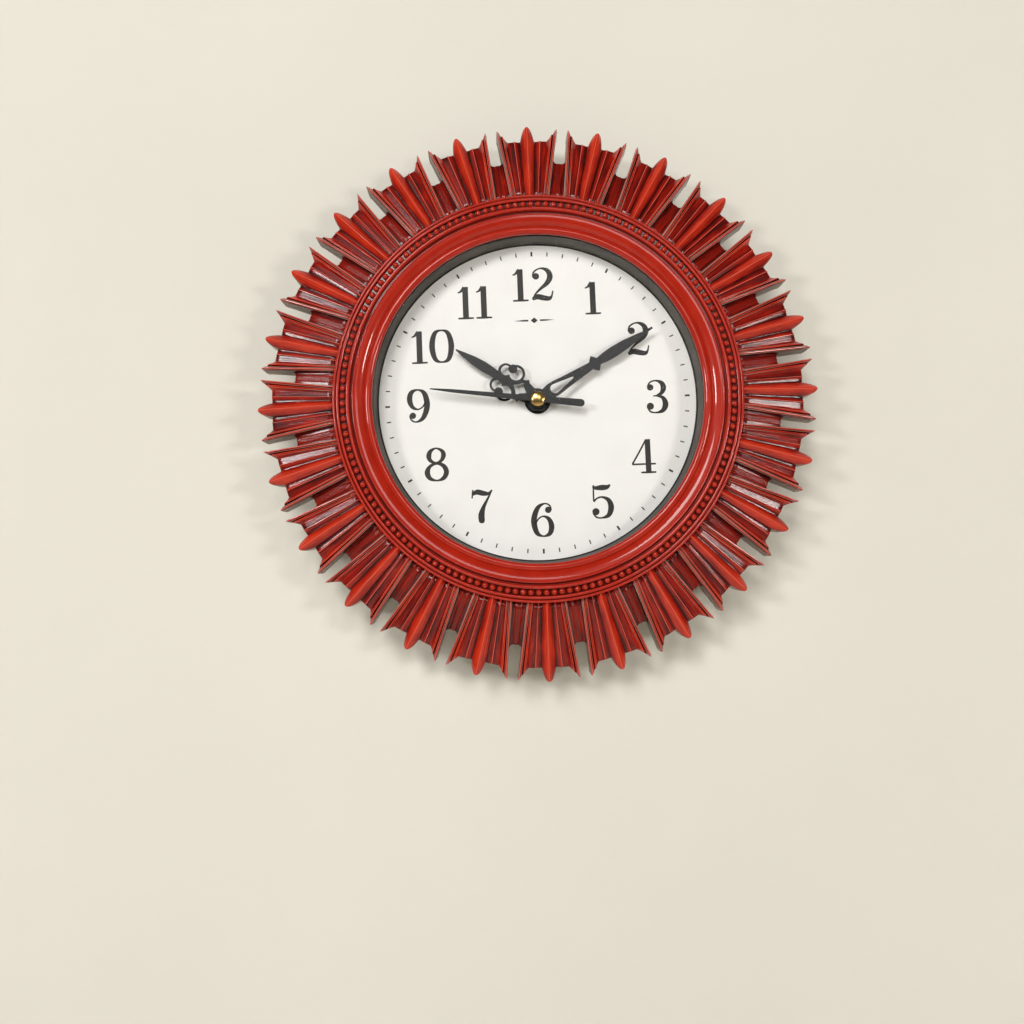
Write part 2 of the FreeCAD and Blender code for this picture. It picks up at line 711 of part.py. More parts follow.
def make_going_train():
    """Rotor to intermediate wheel to seconds wheel to third wheel to centre wheel."""
    rotor = new_body("rotor")
    arbor(rotor, "rotor_arbor", REAR_PIVOT, FRONT_PIVOT)
    extrude(rotor, "rotor_magnet", "magnet_depth", "magnet_length", circles=[("0", "0", "magnet_radius")])
    toothed_wheel(rotor, "rotor_pinion", 12, "fine_module", "rotor_pinion_depth", "rotor_pinion_face",
                  follower_tooth(60, 0.0, ROTOR_ANGLE, 12))
    put(rotor, ROTOR)

    intermediate = new_body("intermediate_wheel")
    seconds_to_intermediate = follower_tooth(60, 0.0, INTERMEDIATE_ANGLE, 10)
    arbor(intermediate, "intermediate_arbor", REAR_PIVOT, FRONT_PIVOT)
    toothed_wheel(intermediate, "intermediate_disc", 60, "fine_module", "intermediate_disc_depth",
                  "wheel_face", 0.0)
    toothed_wheel(intermediate, "intermediate_pinion", 10, "seconds_module", "intermediate_pinion_depth",
                  "intermediate_pinion_face", seconds_to_intermediate)
    put(intermediate, INTERMEDIATE)

    seconds = new_body("seconds_wheel")
    arbor(seconds, "seconds_arbor", REAR_PIVOT, "second_hand_depth + 1.1", "seconds_arbor_radius")
    toothed_wheel(seconds, "seconds_disc", 60, "seconds_module", "seconds_disc_depth", "wheel_face", 0.0)
    toothed_wheel(seconds, "seconds_pinion", 8, "third_distance / 34", "seconds_pinion_depth",
                  "pinion_face", 0.0)
    put(seconds, CENTRE)

    third = new_body("third_wheel")
    arbor(third, "third_arbor", REAR_PIVOT, FRONT_PIVOT)
    toothed_wheel(third, "third_disc", 60, "third_distance / 34", "third_disc_depth", "wheel_face",
                  follower_tooth(8, 0.0, THIRD_ANGLE, 60))
    toothed_wheel(third, "third_pinion", 8, "third_distance / 36", "third_pinion_depth", "pinion_face",
                  follower_tooth(64, 0.0, THIRD_ANGLE, 8))
    put(third, THIRD)

    centre = new_body("centre_wheel")
    toothed_wheel(centre, "centre_disc", 64, "third_distance / 36", "centre_disc_depth", "wheel_face", 0.0)
    bore(centre, "centre_bore", "cannon_radius + running_clearance")
    put(centre, CENTRE)


def make_motion_work():
    """Cannon pinion, motion wheel, hour wheel and the knob that sets the hands."""
    cannon = new_body("cannon_pinion")
    arbor(cannon, "cannon_tube", "cannon_back_depth", "minute_hand_depth + 1", "cannon_radius")
    toothed_wheel(cannon, "cannon_teeth", 12, "motion_module", "cannon_teeth_depth", "cannon_teeth_face", 0.0)
    bore(cannon, "cannon_bore", "seconds_arbor_radius + running_clearance")
    put(cannon, CENTRE)

    motion = new_body("motion_wheel")
    motion_tooth = follower_tooth(12, 0.0, MOTION_ANGLE, 36)
    toothed_wheel(motion, "motion_disc", 36, "motion_module", "motion_disc_depth", "motion_disc_face",
                  motion_tooth)
    toothed_wheel(motion, "motion_pinion", 10, "motion_distance / 25", "motion_pinion_depth",
                  "motion_pinion_face", follower_tooth(40, 0.0, MOTION_ANGLE, 10))
    bore(motion, "motion_bore", "arbor_radius * 1.6 + running_clearance")
    put(motion, MOTION)

    hour = new_body("hour_wheel")
    arbor(hour, "hour_tube", "hour_disc_depth", "hour_hand_depth + 0.6", "hour_tube_radius")
    toothed_wheel(hour, "hour_disc", 40, "motion_distance / 25", "hour_disc_depth", "wheel_face", 0.0)
    bore(hour, "hour_bore", "cannon_radius + running_clearance")
    put(hour, CENTRE)

    knob = new_body("setting_knob")
    arbor(knob, "knob_arbor", "0.6", FRONT_PIVOT, "cannon_radius * 0.8")
    arbor(knob, "knob_sleeve", "0.6", "movement_back_depth + movement_wall + 1", "cannon_radius")
    extrude(knob, "knob_disc", "knob_back_depth", "knob_thickness", circles=[("0", "0", "knob_radius")])
    ridge = extrude(knob, "knob_ridge", "knob_back_depth", "knob_thickness",
                    [box_points("0.7", "1", "0", "knob_radius + 0.2")])
    doc.recompute()
    repeat(knob, [ridge], "knob_ridge_count")
    toothed_wheel(knob, "knob_pinion", 12, "motion_module", "cannon_teeth_depth", "cannon_teeth_face",
                  follower_tooth(36, motion_tooth, KNOB_ANGLE, 12))
    put(knob, KNOB)


def make_electrics():
    board = new_body("circuit_board")
    extrude(board, "board", "3.4", "1.0", [box_points("50", "12", "0", "20")])
    crystal = new_body("quartz_crystal")
    extrude(crystal, "can", "4.4", "2.2", [box_points("6.4", "2.2", "15", "23")])
    chip = new_body("driver_chip")
    extrude(chip, "resin", "4.4", "1.2", circles=[("15", "18", "3")])

    bobbin = new_body("coil_bobbin")
    coil_depth = 9.6
    coil_height = 21.0
    coil_x = -13.0
    cheek_offset = 8.5
    cheek_face = 7.0
    core_face = 2.0
    for side, x in (("left", coil_x - cheek_offset), ("right", coil_x + cheek_offset)):
        cheek = box_points("1", "8", str(x), str(coil_height))
        extrude(bobbin, f"cheek_{side}", coil_depth - cheek_face / 2, str(cheek_face), [cheek])
    core = box_points("22", "2.4", str(coil_x), str(coil_height))
    extrude(bobbin, "core", coil_depth - core_face / 2, str(core_face), [core])
    winding = new_body("coil_winding")
    add_turned(winding, "wire", [("-7.9", "1.7"), ("-7.9", "3.3"), ("7.9", "3.3"), ("7.9", "1.7")])
    winding.Placement = FreeCAD.Placement(FreeCAD.Vector(coil_x, -coil_depth, coil_height),
                                          FreeCAD.Rotation(FreeCAD.Vector(0, 0, 1), 90))
    stator = new_body("stator")
    x, z = ROTOR
    half_width = 5
    plate_top = "15.4"
    magnet_hole = (str(x), str(z), "3.4")
    plate = [(f"{x} - {half_width}", f"{z} - {half_width}"), (f"{x} + {half_width}", f"{z} - {half_width}"),
             (f"{x} + {half_width}", plate_top), (f"{x} - {half_width}", plate_top)]
    extrude(stator, "stator_plate", "9.3", "0.8", [plate], [magnet_hole])

    cell = new_body("battery")
    half = "battery_length / 2"
    add_turned(cell, "cell", [
        (f"-{half}", "0"),
        (f"-{half}", "battery_radius"),
        (f"{half} - 1", "battery_radius"),
        (f"{half} - 1", "2.75"),
        (half, "2.75"),
        (half, "0"),
    ])
    cell.Placement = FreeCAD.Placement(
        FreeCAD.Vector(0, -value("battery_axis_depth"), -value("battery_height")),
        FreeCAD.Rotation(FreeCAD.Vector(0, 0, 1), 90))

    for label, side, reach, radius in (("positive_contact", 1, 0.5, 3.2), ("negative_contact", -1, 1.2, 2.6)):
        contact = new_body(label)
        extrude(contact, f"{label}_leaf", "battery_axis_depth - 5", "10",
                [box_points("0.4", "11", f"{side} * (movement_width / 2 - movement_wall - 0.25)",
                            "-battery_height")])
        button = doc.addObject("Part::Cone", f"{label}_button")
        button.Radius1 = radius + 0.8
        button.Radius2 = radius
        button.Height = reach
        wall = value("movement_width / 2 - movement_wall - 0.45")
        button.Placement = FreeCAD.Placement(
            FreeCAD.Vector(side * wall, -value("battery_axis_depth"), -value("battery_height")),
            FreeCAD.Rotation(FreeCAD.Vector(0, 1, 0), -90 * side))
        join = doc.addObject("Part::Fuse", f"{label}_joined")
        join.Base = contact
        join.Tool = button
        contact.Label = f"{label}_blade"
        join.Label = label


def make_fixings():
    nut = new_body("mounting_nut")
    flat = 5.5
    corners = [(str(flat / math.cos(math.pi / 6) * math.cos(math.radians(60 * i))),
                str(flat / math.cos(math.pi / 6) * math.sin(math.radians(60 * i)))) for i in range(6)]
    extrude(nut, "nut_hexagon", "dial_depth + 0.5", "2", [corners], [("0", "0", "bush_radius + 0.02")])
    turned("nut_washer", [
        ("dial_depth", "bush_hole_radius"),
        ("dial_depth", "7"),
        ("dial_depth + 0.5", "7"),
        ("dial_depth + 0.5", "bush_hole_radius"),
    ])
    turned("rubber_gasket", [
        ("movement_front_depth", "bush_hole_radius"),
        ("movement_front_depth", "9"),
        ("pan_back_depth", "9"),
        ("pan_back_depth", "bush_hole_radius"),
    ])


# ---------------------------------------------------------------- hands

def hand_points(length, half_outline):
    """A closed outline from its right-hand half, given in millimetres and scaled to the length."""
    left = [(-x, z) for x, z in reversed(half_outline)]
    scale = f"{length} / {half_outline[-1][1]}"
    return [(f"{x} * {scale}", f"{z} * {scale}") for x, z in half_outline + left]


def make_hour_hand():
    hand = new_body("hour_hand")
    level, thick = "hour_hand_depth", "hand_thickness"
    extrude(hand, "hour_boss", level, thick, circles=[("0", "0", "hand_boss_radius")])
    extrude(hand, "hour_neck", level, thick, [hand_points("hour_hand_length", [
        (4.2, 3.4), (5.4, 8.4), (6.8, 9.6), (5.6, 11.2), (4.0, 22.0), (2.2, 26.6), (2.6, 31.0), (2.75, 35.0),
        (2.3, 41.0), (1.2, 47.5), (0.35, 52.0)])])
    scrolls = [("hour_lobes", 5.9, 17.4, 4.9, False), ("hour_curls", 4.4, 23.0, 4.1, False),
               ("hour_lobe_holes", 5.9, 17.4, 3.6, True), ("hour_curl_holes", 4.7, 23.0, 2.7, True),
               ("hour_drops", 7.3, 20.3, 2.4, False)]
    for name, across, along, radius, cut in scrolls:
        pair = [(str(side * across), str(along), str(radius)) for side in (-1, 1)]
        extrude(hand, name, level, thick, circles=pair, cut=cut)
    window = [("0", "7.2"), ("2.2", "10.2"), ("4.0", "11.5"), ("2.0", "13.0"),
              ("0", "15.8"), ("-2.0", "13.0"), ("-4.0", "11.5"), ("-2.2", "10.2")]
    extrude(hand, "hour_window", level, thick, [window], cut=True)
    extrude(hand, "hour_hand_bore", level, thick, circles=[("0", "0", "hour_tube_radius")], cut=True)
    put(hand, CENTRE, HOUR_ANGLE)


def make_minute_hand():
    hand = new_body("minute_hand")
    level, thick = "minute_hand_depth", "hand_thickness"
    extrude(hand, "minute_boss", level, thick, circles=[("0", "0", "hand_boss_radius - 1.2")])
    extrude(hand, "minute_blade", level, thick, [hand_points("minute_hand_length", [
        (3.0, 3.2), (4.1, 8.4), (4.1, 11.8), (3.3, 19.0), (2.1, 33.8), (4.7, 36.4), (2.0, 38.8), (2.7, 43.0),
        (2.95, 48.5), (2.6, 56.0), (1.5, 64.0), (0.75, 68.5), (0.6, 73.0)])])
    window = [("-2.6", "11.0"), ("0", "8.4", "2.6"), ("2.6", "11.0", "2.6"),
              ("0.5", "22.2"), ("-0.5", "22.2", "0.52")]
    extrude(hand, "minute_window", level, thick, [window], cut=True)
    extrude(hand, "minute_hand_bore", level, thick, circles=[("0", "0", "cannon_radius")], cut=True)
    put(hand, CENTRE, MINUTE_ANGLE)


def make_second_hand():
    hand = new_body("second_hand")
    level, thick = "second_hand_depth", "hand_thickness"
    extrude(hand, "second_boss", level, thick, circles=[("0", "0", "hand_boss_radius - 2.4")])
    tail = "second_tail_length"
    needle = "second_hand_length"
    extrude(hand, "second_needle", level, thick, [[
        ("1.6", "0"), ("1.4", f"{needle} * 0.4"), ("0.9", f"{needle} * 0.8"), ("0.3", needle),
        ("-0.3", needle), ("-0.9", f"{needle} * 0.8"), ("-1.4", f"{needle} * 0.4"), ("-1.6", "0"),
        ("-2", f"2 - {tail}"), ("0", f"-{tail}", "2"), ("2", f"2 - {tail}", "2")]])
    extrude(hand, "second_collet", "second_hand_depth - 0.6", "0.6", circles=[("0", "0", "1.6")])
    bore(hand, "second_hand_bore", "seconds_arbor_radius")
    put(hand, CENTRE, SECOND_ANGLE)
    cap = new_body("hand_cap")
    extrude(cap, "cap_lower", "second_hand_depth + hand_thickness", "cap_rise * 0.6",
            circles=[("0", "0", "cap_radius")])
    extrude(cap, "cap_upper", "second_hand_depth + hand_thickness + cap_rise * 0.6", "cap_rise * 0.4",
            circles=[("0", "0", "cap_radius - cap_rise")])
    extrude(cap, "cap_bore", "second_hand_depth", "hand_thickness + cap_rise * 0.6",
            circles=[("0", "0", "seconds_arbor_radius")], cut=True)


# ---------------------------------------------------------------- build and write

NODES = [
    "sunburst", "bezel", "glass", "spacer_ring", "dial_card", "back_pan", "case_screws", "hanger_plate",
    "hanger_screws", "movement_front", "movement_rear", "mounting_nut", "nut_washer", "rubber_gasket",
    "circuit_board", "quartz_crystal", "driver_chip", "coil_bobbin", "coil_winding", "stator", "battery",
    "positive_contact", "negative_contact", "rotor", "intermediate_wheel", "seconds_wheel", "third_wheel",
    "centre_wheel", "cannon_pinion", "motion_wheel", "hour_wheel", "setting_knob", "hour_hand", "minute_hand",
    "second_hand", "hand_cap",
]


def check_and_write():
    doc.recompute()
    for item in doc.Objects:
        if "Invalid" in item.State or "Error" in item.State:
            raise RuntimeError(f"{item.Name} failed: {item.State}")
    os.makedirs("parts", exist_ok=True)
    shapes = {}
    for node in NODES:
        shape = doc.getObjectsByLabel(node)[0].Shape
        if shape.isNull() or not shape.isValid():
            raise RuntimeError(f"{node} has no valid shape")
        shapes[node] = shape
    for node, shape in shapes.items():
        shape.exportStep(f"parts/{node}.step")
        print(node, len(shape.Solids), round(shape.Volume, 1))


make_sunburst()
make_bezel()
make_dial_stack()
make_back_pan()
make_hanger()
make_screws()
make_movement_case()
make_going_train()
make_motion_work()
make_electrics()
make_fixings()
make_hour_hand()
make_minute_hand()
make_second_hand()
check_and_write()
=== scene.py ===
# Sunburst wall clock: the finished look, built round the CAD frame. Metres, dial facing -Y, Z up.
import math
import bmesh
import bpy
from mathutils import Euler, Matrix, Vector


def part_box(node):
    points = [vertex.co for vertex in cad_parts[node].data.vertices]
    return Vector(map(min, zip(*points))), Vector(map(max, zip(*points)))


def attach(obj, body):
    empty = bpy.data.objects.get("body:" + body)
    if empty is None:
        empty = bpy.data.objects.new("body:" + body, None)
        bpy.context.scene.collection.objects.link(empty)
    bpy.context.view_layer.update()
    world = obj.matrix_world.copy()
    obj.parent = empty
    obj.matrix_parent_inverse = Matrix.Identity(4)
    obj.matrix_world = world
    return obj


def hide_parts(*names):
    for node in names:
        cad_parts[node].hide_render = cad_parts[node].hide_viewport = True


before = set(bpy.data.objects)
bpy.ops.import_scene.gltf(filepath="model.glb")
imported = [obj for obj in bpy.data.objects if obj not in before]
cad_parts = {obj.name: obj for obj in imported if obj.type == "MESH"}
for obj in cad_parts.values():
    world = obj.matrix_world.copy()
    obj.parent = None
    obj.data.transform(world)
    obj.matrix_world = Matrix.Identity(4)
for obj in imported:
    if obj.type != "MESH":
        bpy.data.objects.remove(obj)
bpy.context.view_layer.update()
mm = 0.001
print("frame loaded")


# ---- small helpers

def linear(hexColour):
    # sRGB hex to the linear colour that the shaders want
    parts = [int(hexColour[i:i + 2], 16) / 255 for i in (1, 3, 5)]
    return tuple(c / 12.92 if c <= 0.04045 else ((c + 0.055) / 1.055) ** 2.4 for c in parts) + (1.0,)


def addNode(tree, kind, values=None, links=None, stops=(), **settings):
    # one node, its settings, its fixed inputs and what feeds the rest
    node = tree.nodes.new(kind)
    for name, setting in settings.items():
        setattr(node, name, setting)
    for name, fixed in (values or {}).items():
        node.inputs[name].default_value = fixed
    for name, source in (links or {}).items():
        tree.links.new(source, node.inputs[name])
    for position, hexColour in stops:
        element = node.color_ramp.elements.new(position)
        element.color = linear(hexColour)
    if stops:
        # the two stops that a new ramp starts with go
        node.color_ramp.elements.remove(node.color_ramp.elements[0])
        node.color_ramp.elements.remove(node.color_ramp.elements[-1])
    return node


def newMaterial(name, roughness, metallic=0.0):
    material = bpy.data.materials.new(name)
    material.use_nodes = True
    tree = material.node_tree
    tree.nodes.clear()
    shader = addNode(tree, "ShaderNodeBsdfPrincipled", {"Roughness": roughness, "Metallic": metallic})
    addNode(tree, "ShaderNodeOutputMaterial", links={"Surface": shader.outputs["BSDF"]})
    return material, tree, shader


def meshObject(name, points, faces, smooth=True):
    mesh = bpy.data.meshes.new(name)
    mesh.from_pydata([Vector(p) * mm for p in points], [], faces)
    mesh.validate()
    mesh.polygons.foreach_set("use_smooth", [smooth] * len(mesh.polygons))
    thing = bpy.data.objects.new(name, mesh)
    bpy.context.scene.collection.objects.link(thing)
    return thing


def finishPiece(thing, body, material=None, replaced=()):
    if material:
        thing.data.materials.clear()
        thing.data.materials.append(material)
    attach(thing, body)
    if replaced:
        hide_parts(*replaced)
    return thing


def applyTree(thing, tree, values):
    # runs a Geometry Nodes tree on an object once and keeps the plain mesh
    modifier = thing.modifiers.new(tree.name, "NODES")
    modifier.node_group = tree
    for socket in tree.interface.items_tree:
        if socket.item_type == "SOCKET" and socket.in_out == "INPUT" and socket.name in values:
            modifier[socket.identifier] = values[socket.name]
    bpy.context.view_layer.update()
    evaluated = thing.evaluated_get(bpy.context.evaluated_depsgraph_get())
    mesh = bpy.data.meshes.new_from_object(evaluated)
    thing.modifiers.remove(modifier)
    thing.data = mesh
    if mesh.materials and mesh.materials[0] is None:
        mesh.materials.pop(index=0)
    return thing


def newTree(name, inputs):
    tree = bpy.data.node_groups.new(name, "GeometryNodeTree")
    tree.interface.new_socket("Geometry", in_out="INPUT", socket_type="NodeSocketGeometry")
    for label, kind, default in inputs:
        tree.interface.new_socket(label, in_out="INPUT", socket_type=kind).default_value = default
    tree.interface.new_socket("Geometry", in_out="OUTPUT", socket_type="NodeSocketGeometry")
    return tree, addNode(tree, "NodeGroupInput")


def arc(start, end, radius, steps=6):
    # points after start on the short arc to end; a positive radius bulges to the right of the way there
    a, b = Vector(start), Vector(end)
    chord = b - a
    right = Vector((chord.y, -chord.x)).normalized()
    sign = math.copysign(1, radius)
    centre = (a + b) / 2 - right * sign * math.sqrt(max(radius ** 2 - chord.length_squared / 4, 0))
    first = math.atan2(a.y - centre.y, a.x - centre.x)
    turn = (math.atan2(b.y - centre.y, b.x - centre.x) - first + math.pi) % (2 * math.pi) - math.pi
    reach = abs(radius)
    angles = [first + turn * i / steps for i in range(1, steps + 1)]
    return [(centre.x + reach * math.cos(angle), centre.y + reach * math.sin(angle)) for angle in angles]


def lathe(name, profile, segments=192, closed=True):
    # profile points are (depth from the wall, radius)
    points, faces, count = [], [], len(profile)
    for k in range(segments):
        angle = 2 * math.pi * k / segments
        points += [(r * math.sin(angle), -depth, r * math.cos(angle)) for depth, r in profile]
    for k in range(segments):
        here, after = k * count, (k + 1) % segments * count
        for i in range(count if closed else count - 1):
            j = (i + 1) % count
            faces.append((here + i, here + j, after + j, after + i))
    thing = meshObject(name, points, faces)
    tidyNormals(thing)
    return thing


def tidyNormals(thing):
    work = bmesh.new()
    work.from_mesh(thing.data)
    bmesh.ops.remove_doubles(work, verts=work.verts, dist=1e-6)
    bmesh.ops.recalc_face_normals(work, faces=work.faces)
    work.to_mesh(thing.data)
    work.free()


def softCopy(node, name, width=0.3, segments=2, angle=35):
    # a CAD node's shape with its arrises rounded as a mould or a tumbler leaves them
    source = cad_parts[node]
    mesh = source.data.copy()
    mesh.materials.clear()
    thing = bpy.data.objects.new(name, mesh)
    bpy.context.scene.collection.objects.link(thing)
    work = bmesh.new()
    work.from_mesh(mesh)
    bmesh.ops.remove_doubles(work, verts=work.verts, dist=2e-6)
    bmesh.ops.dissolve_limit(work, angle_limit=math.radians(1.0), verts=work.verts, edges=work.edges)
    work.to_mesh(mesh)
    work.free()
    mesh.polygons.foreach_set("use_smooth", [True] * len(mesh.polygons))
    mesh.set_sharp_from_angle(angle=math.radians(angle))
    bevel = thing.modifiers.new("arris", "BEVEL")
    bevel.width = width * mm
    bevel.segments = segments
    bevel.limit_method = "ANGLE"
    bevel.angle_limit = math.radians(angle)
    bevel.use_clamp_overlap = True
    bevel.loop_slide = False
    flats = thing.modifiers.new("flats", "WEIGHTED_NORMAL")
    flats.weight = 100
    flats.keep_sharp = True
    return thing


# ---- finishes

def objectPlace(tree, scale=(1, 1, 1)):
    # where the point is on the piece, in metres times scale
    place = addNode(tree, "ShaderNodeTexCoord")
    scaled = addNode(tree, "ShaderNodeMapping", {"Scale": scale}, {"Vector": place.outputs["Object"]})
    return scaled.outputs["Vector"]


def rayPaint():
    # red-brown spray lacquer over a moulded wood grain: dark streaks along each ray, with painted highlight
    # on the raised folds and painted shade in the grooves between them
    material, tree, shader = newMaterial("ray_lacquer_over_moulded_grain", 0.34)
    shader.inputs["Specular IOR Level"].default_value = 0.48
    along = addNode(tree, "ShaderNodeUVMap", uv_map="rays")
    seed = addNode(tree, "ShaderNodeAttribute", attribute_name="petalShade")
    fold = addNode(tree, "ShaderNodeAttribute", attribute_name="fold")
    shift = addNode(tree, "ShaderNodeCombineXYZ", links={"X": seed.outputs["Fac"], "Y": seed.outputs["Fac"]})
    # each petal reads its grain from a place of its own
    offset = addNode(tree, "ShaderNodeVectorMath", {"Scale": 370.0}, {0: shift.outputs["Vector"]},
                     operation="SCALE")
    moved = addNode(tree, "ShaderNodeVectorMath", links={0: along.outputs["UV"], 1: offset.outputs["Vector"]})
    # the UV map is in millimetres: grain lines about 0.8 mm wide and 15 mm long, blotches about 6 mm by 20 mm
    grain = addNode(tree, "ShaderNodeMapping", {"Scale": (1.2, 0.07, 1)}, {"Vector": moved.outputs["Vector"]})
    streak = addNode(tree, "ShaderNodeTexNoise", {"Scale": 1.0, "Detail": 5.0, "Roughness": 0.6},
                     {"Vector": grain.outputs["Vector"]})
    wide = addNode(tree, "ShaderNodeMapping", {"Scale": (0.16, 0.05, 1)}, {"Vector": moved.outputs["Vector"]})
    blotch = addNode(tree, "ShaderNodeTexNoise", {"Scale": 1.0, "Detail": 3.0},
                     {"Vector": wide.outputs["Vector"]})
    both = addNode(tree, "ShaderNodeMath", {1: 0.5}, {0: streak.outputs["Fac"]}, operation="MULTIPLY")
    total = addNode(tree, "ShaderNodeMath", {1: 0.35}, {0: blotch.outputs["Fac"], 2: both.outputs["Value"]},
                    operation="MULTIPLY_ADD")
    # painted light: the colour is lifted where the fold is raised and lowered in the grooves, standing in for
    # light and shade on the pleats
    raised = addNode(tree, "ShaderNodeMath", {1: 0.34}, {0: fold.outputs["Fac"], 2: total.outputs["Value"]},
                     operation="MULTIPLY_ADD")
    colour = addNode(tree, "ShaderNodeValToRGB", links={"Fac": raised.outputs["Value"]},
                     stops=[(0.3, "#120000"), (0.44, "#4c0603"), (0.58, "#921508"), (0.76, "#cc3315")])
    # painted highlight: a pale line along the arris of each fold
    paintedArrisHighlight = addNode(tree, "ShaderNodeMapRange", {"From Min": 0.982, "From Max": 1.0, "To Max": 0.5},
                   {"Value": fold.outputs["Fac"]})
    arris = addNode(tree, "ShaderNodeMix", {7: linear("#d98a7c")},
                    {0: paintedArrisHighlight.outputs["Result"], 6: colour.outputs["Color"]}, data_type="RGBA")
    tree.links.new(arris.outputs[2], shader.inputs["Base Color"])
    # the pale grain is smoother than the dark
    shine = addNode(tree, "ShaderNodeMapRange",
                    {"From Min": 0.3, "From Max": 0.7, "To Min": 0.24, "To Max": 0.07},
                    {"Value": total.outputs["Value"]})
    tree.links.new(shine.outputs["Result"], shader.inputs["Roughness"])
    bump = addNode(tree, "ShaderNodeBump", {"Strength": 0.22, "Distance": 0.0004},
                   {"Height": streak.outputs["Fac"]})
    tree.links.new(bump.outputs["Normal"], shader.inputs["Normal"])
    return material


def bezelLacquer():
    # gloss orange-red lacquer, with painted shade darkening it in the grooves
    material, tree, shader = newMaterial("gloss_red_lacquer_on_moulding", 0.3)
    shader.inputs["Specular IOR Level"].default_value = 0.12
    shader.inputs["Coat Weight"].default_value = 0.6
    shader.inputs["Coat Roughness"].default_value = 0.05
    # painted shade: the colour darkens over the grooves of the moulding
    grooveShade = addNode(tree, "ShaderNodeAttribute", attribute_name="grooveShade")
    cloud = addNode(tree, "ShaderNodeTexNoise", {"Scale": 90.0, "Detail": 4.0}, {"Vector": objectPlace(tree)})
    uneven = addNode(tree, "ShaderNodeMath", {1: 0.35}, {0: cloud.outputs["Fac"], 2: grooveShade.outputs["Fac"]},
                     operation="MULTIPLY_ADD")
    colour = addNode(tree, "ShaderNodeValToRGB", links={"Fac": uneven.outputs["Value"]},
                     stops=[(0.1, "#b22510"), (0.3, "#a01c0a"), (0.75, "#6e1006"), (0.98, "#420803")])
    tree.links.new(colour.outputs["Color"], shader.inputs["Base Color"])
    bump = addNode(tree, "ShaderNodeBump", {"Strength": 0.12, "Distance": 0.0003},
                   {"Height": cloud.outputs["Fac"]})
    tree.links.new(bump.outputs["Normal"], shader.inputs["Normal"])
    return material


def moulded(name, dark, light, roughness, grit, bumpStrength=0.12, metallic=0.0):
    # a moulded, cast or coated surface: a slight cloud in the colour and a fine grain of grit millimetres
    material, tree, shader = newMaterial(name, roughness, metallic)
    place = objectPlace(tree)
    cloud = addNode(tree, "ShaderNodeTexNoise", {"Scale": 45.0, "Detail": 3.0}, {"Vector": place})
    tint = addNode(tree, "ShaderNodeValToRGB", links={"Fac": cloud.outputs["Fac"]},
                   stops=[(0.3, dark), (0.7, light)])
    tree.links.new(tint.outputs["Color"], shader.inputs["Base Color"])
    grain = addNode(tree, "ShaderNodeTexNoise", {"Scale": 1000.0 / grit, "Detail": 2.0}, {"Vector": place})
    bump = addNode(tree, "ShaderNodeBump", {"Strength": bumpStrength, "Distance": grit * 0.0001},
                   {"Height": grain.outputs["Fac"]})
    tree.links.new(bump.outputs["Normal"], shader.inputs["Normal"])
    rub = addNode(tree, "ShaderNodeMapRange",
                  {"To Min": roughness * 0.85, "To Max": min(1.0, roughness * 1.15)},
                  {"Value": grain.outputs["Fac"]})
    tree.links.new(rub.outputs["Result"], shader.inputs["Roughness"])
    return material


def rolledMetal(name, dark, light, roughness, stretch):
    # drawn or rolled metal: fine lines along one way, which pull the highlight out into a streak
    material, tree, shader = newMaterial(name, roughness, 1.0)
    lines = addNode(tree, "ShaderNodeTexNoise", {"Scale": 1.0, "Detail": 4.0},
                    {"Vector": objectPlace(tree, stretch)})
    tint = addNode(tree, "ShaderNodeValToRGB", links={"Fac": lines.outputs["Fac"]},
                   stops=[(0.3, dark), (0.7, light)])
    tree.links.new(tint.outputs["Color"], shader.inputs["Base Color"])
    rub = addNode(tree, "ShaderNodeMapRange", {"To Min": roughness * 0.7, "To Max": roughness * 1.3},
                  {"Value": lines.outputs["Fac"]})
    tree.links.new(rub.outputs["Result"], shader.inputs["Roughness"])
    bump = addNode(tree, "ShaderNodeBump", {"Strength": 0.08, "Distance": 0.00005},
                   {"Height": lines.outputs["Fac"]})
    tree.links.new(bump.outputs["Normal"], shader.inputs["Normal"])
    return material


def lensGlass():
    # thin flat glass seen nearly square on: almost nothing but a faint sheen
    material, tree, shader = newMaterial("flat_glass", 0.03)
    shader.inputs["IOR"].default_value = 1.5
    shader.inputs["Alpha"].default_value = 0.015
    smear = addNode(tree, "ShaderNodeTexNoise", {"Scale": 25.0}, {"Vector": objectPlace(tree)})
    tint = addNode(tree, "ShaderNodeValToRGB", links={"Fac": smear.outputs["Fac"]},
                   stops=[(0.3, "#1c2120"), (0.7, "#232827")])
    tree.links.new(tint.outputs["Color"], shader.inputs["Base Color"])
    return material


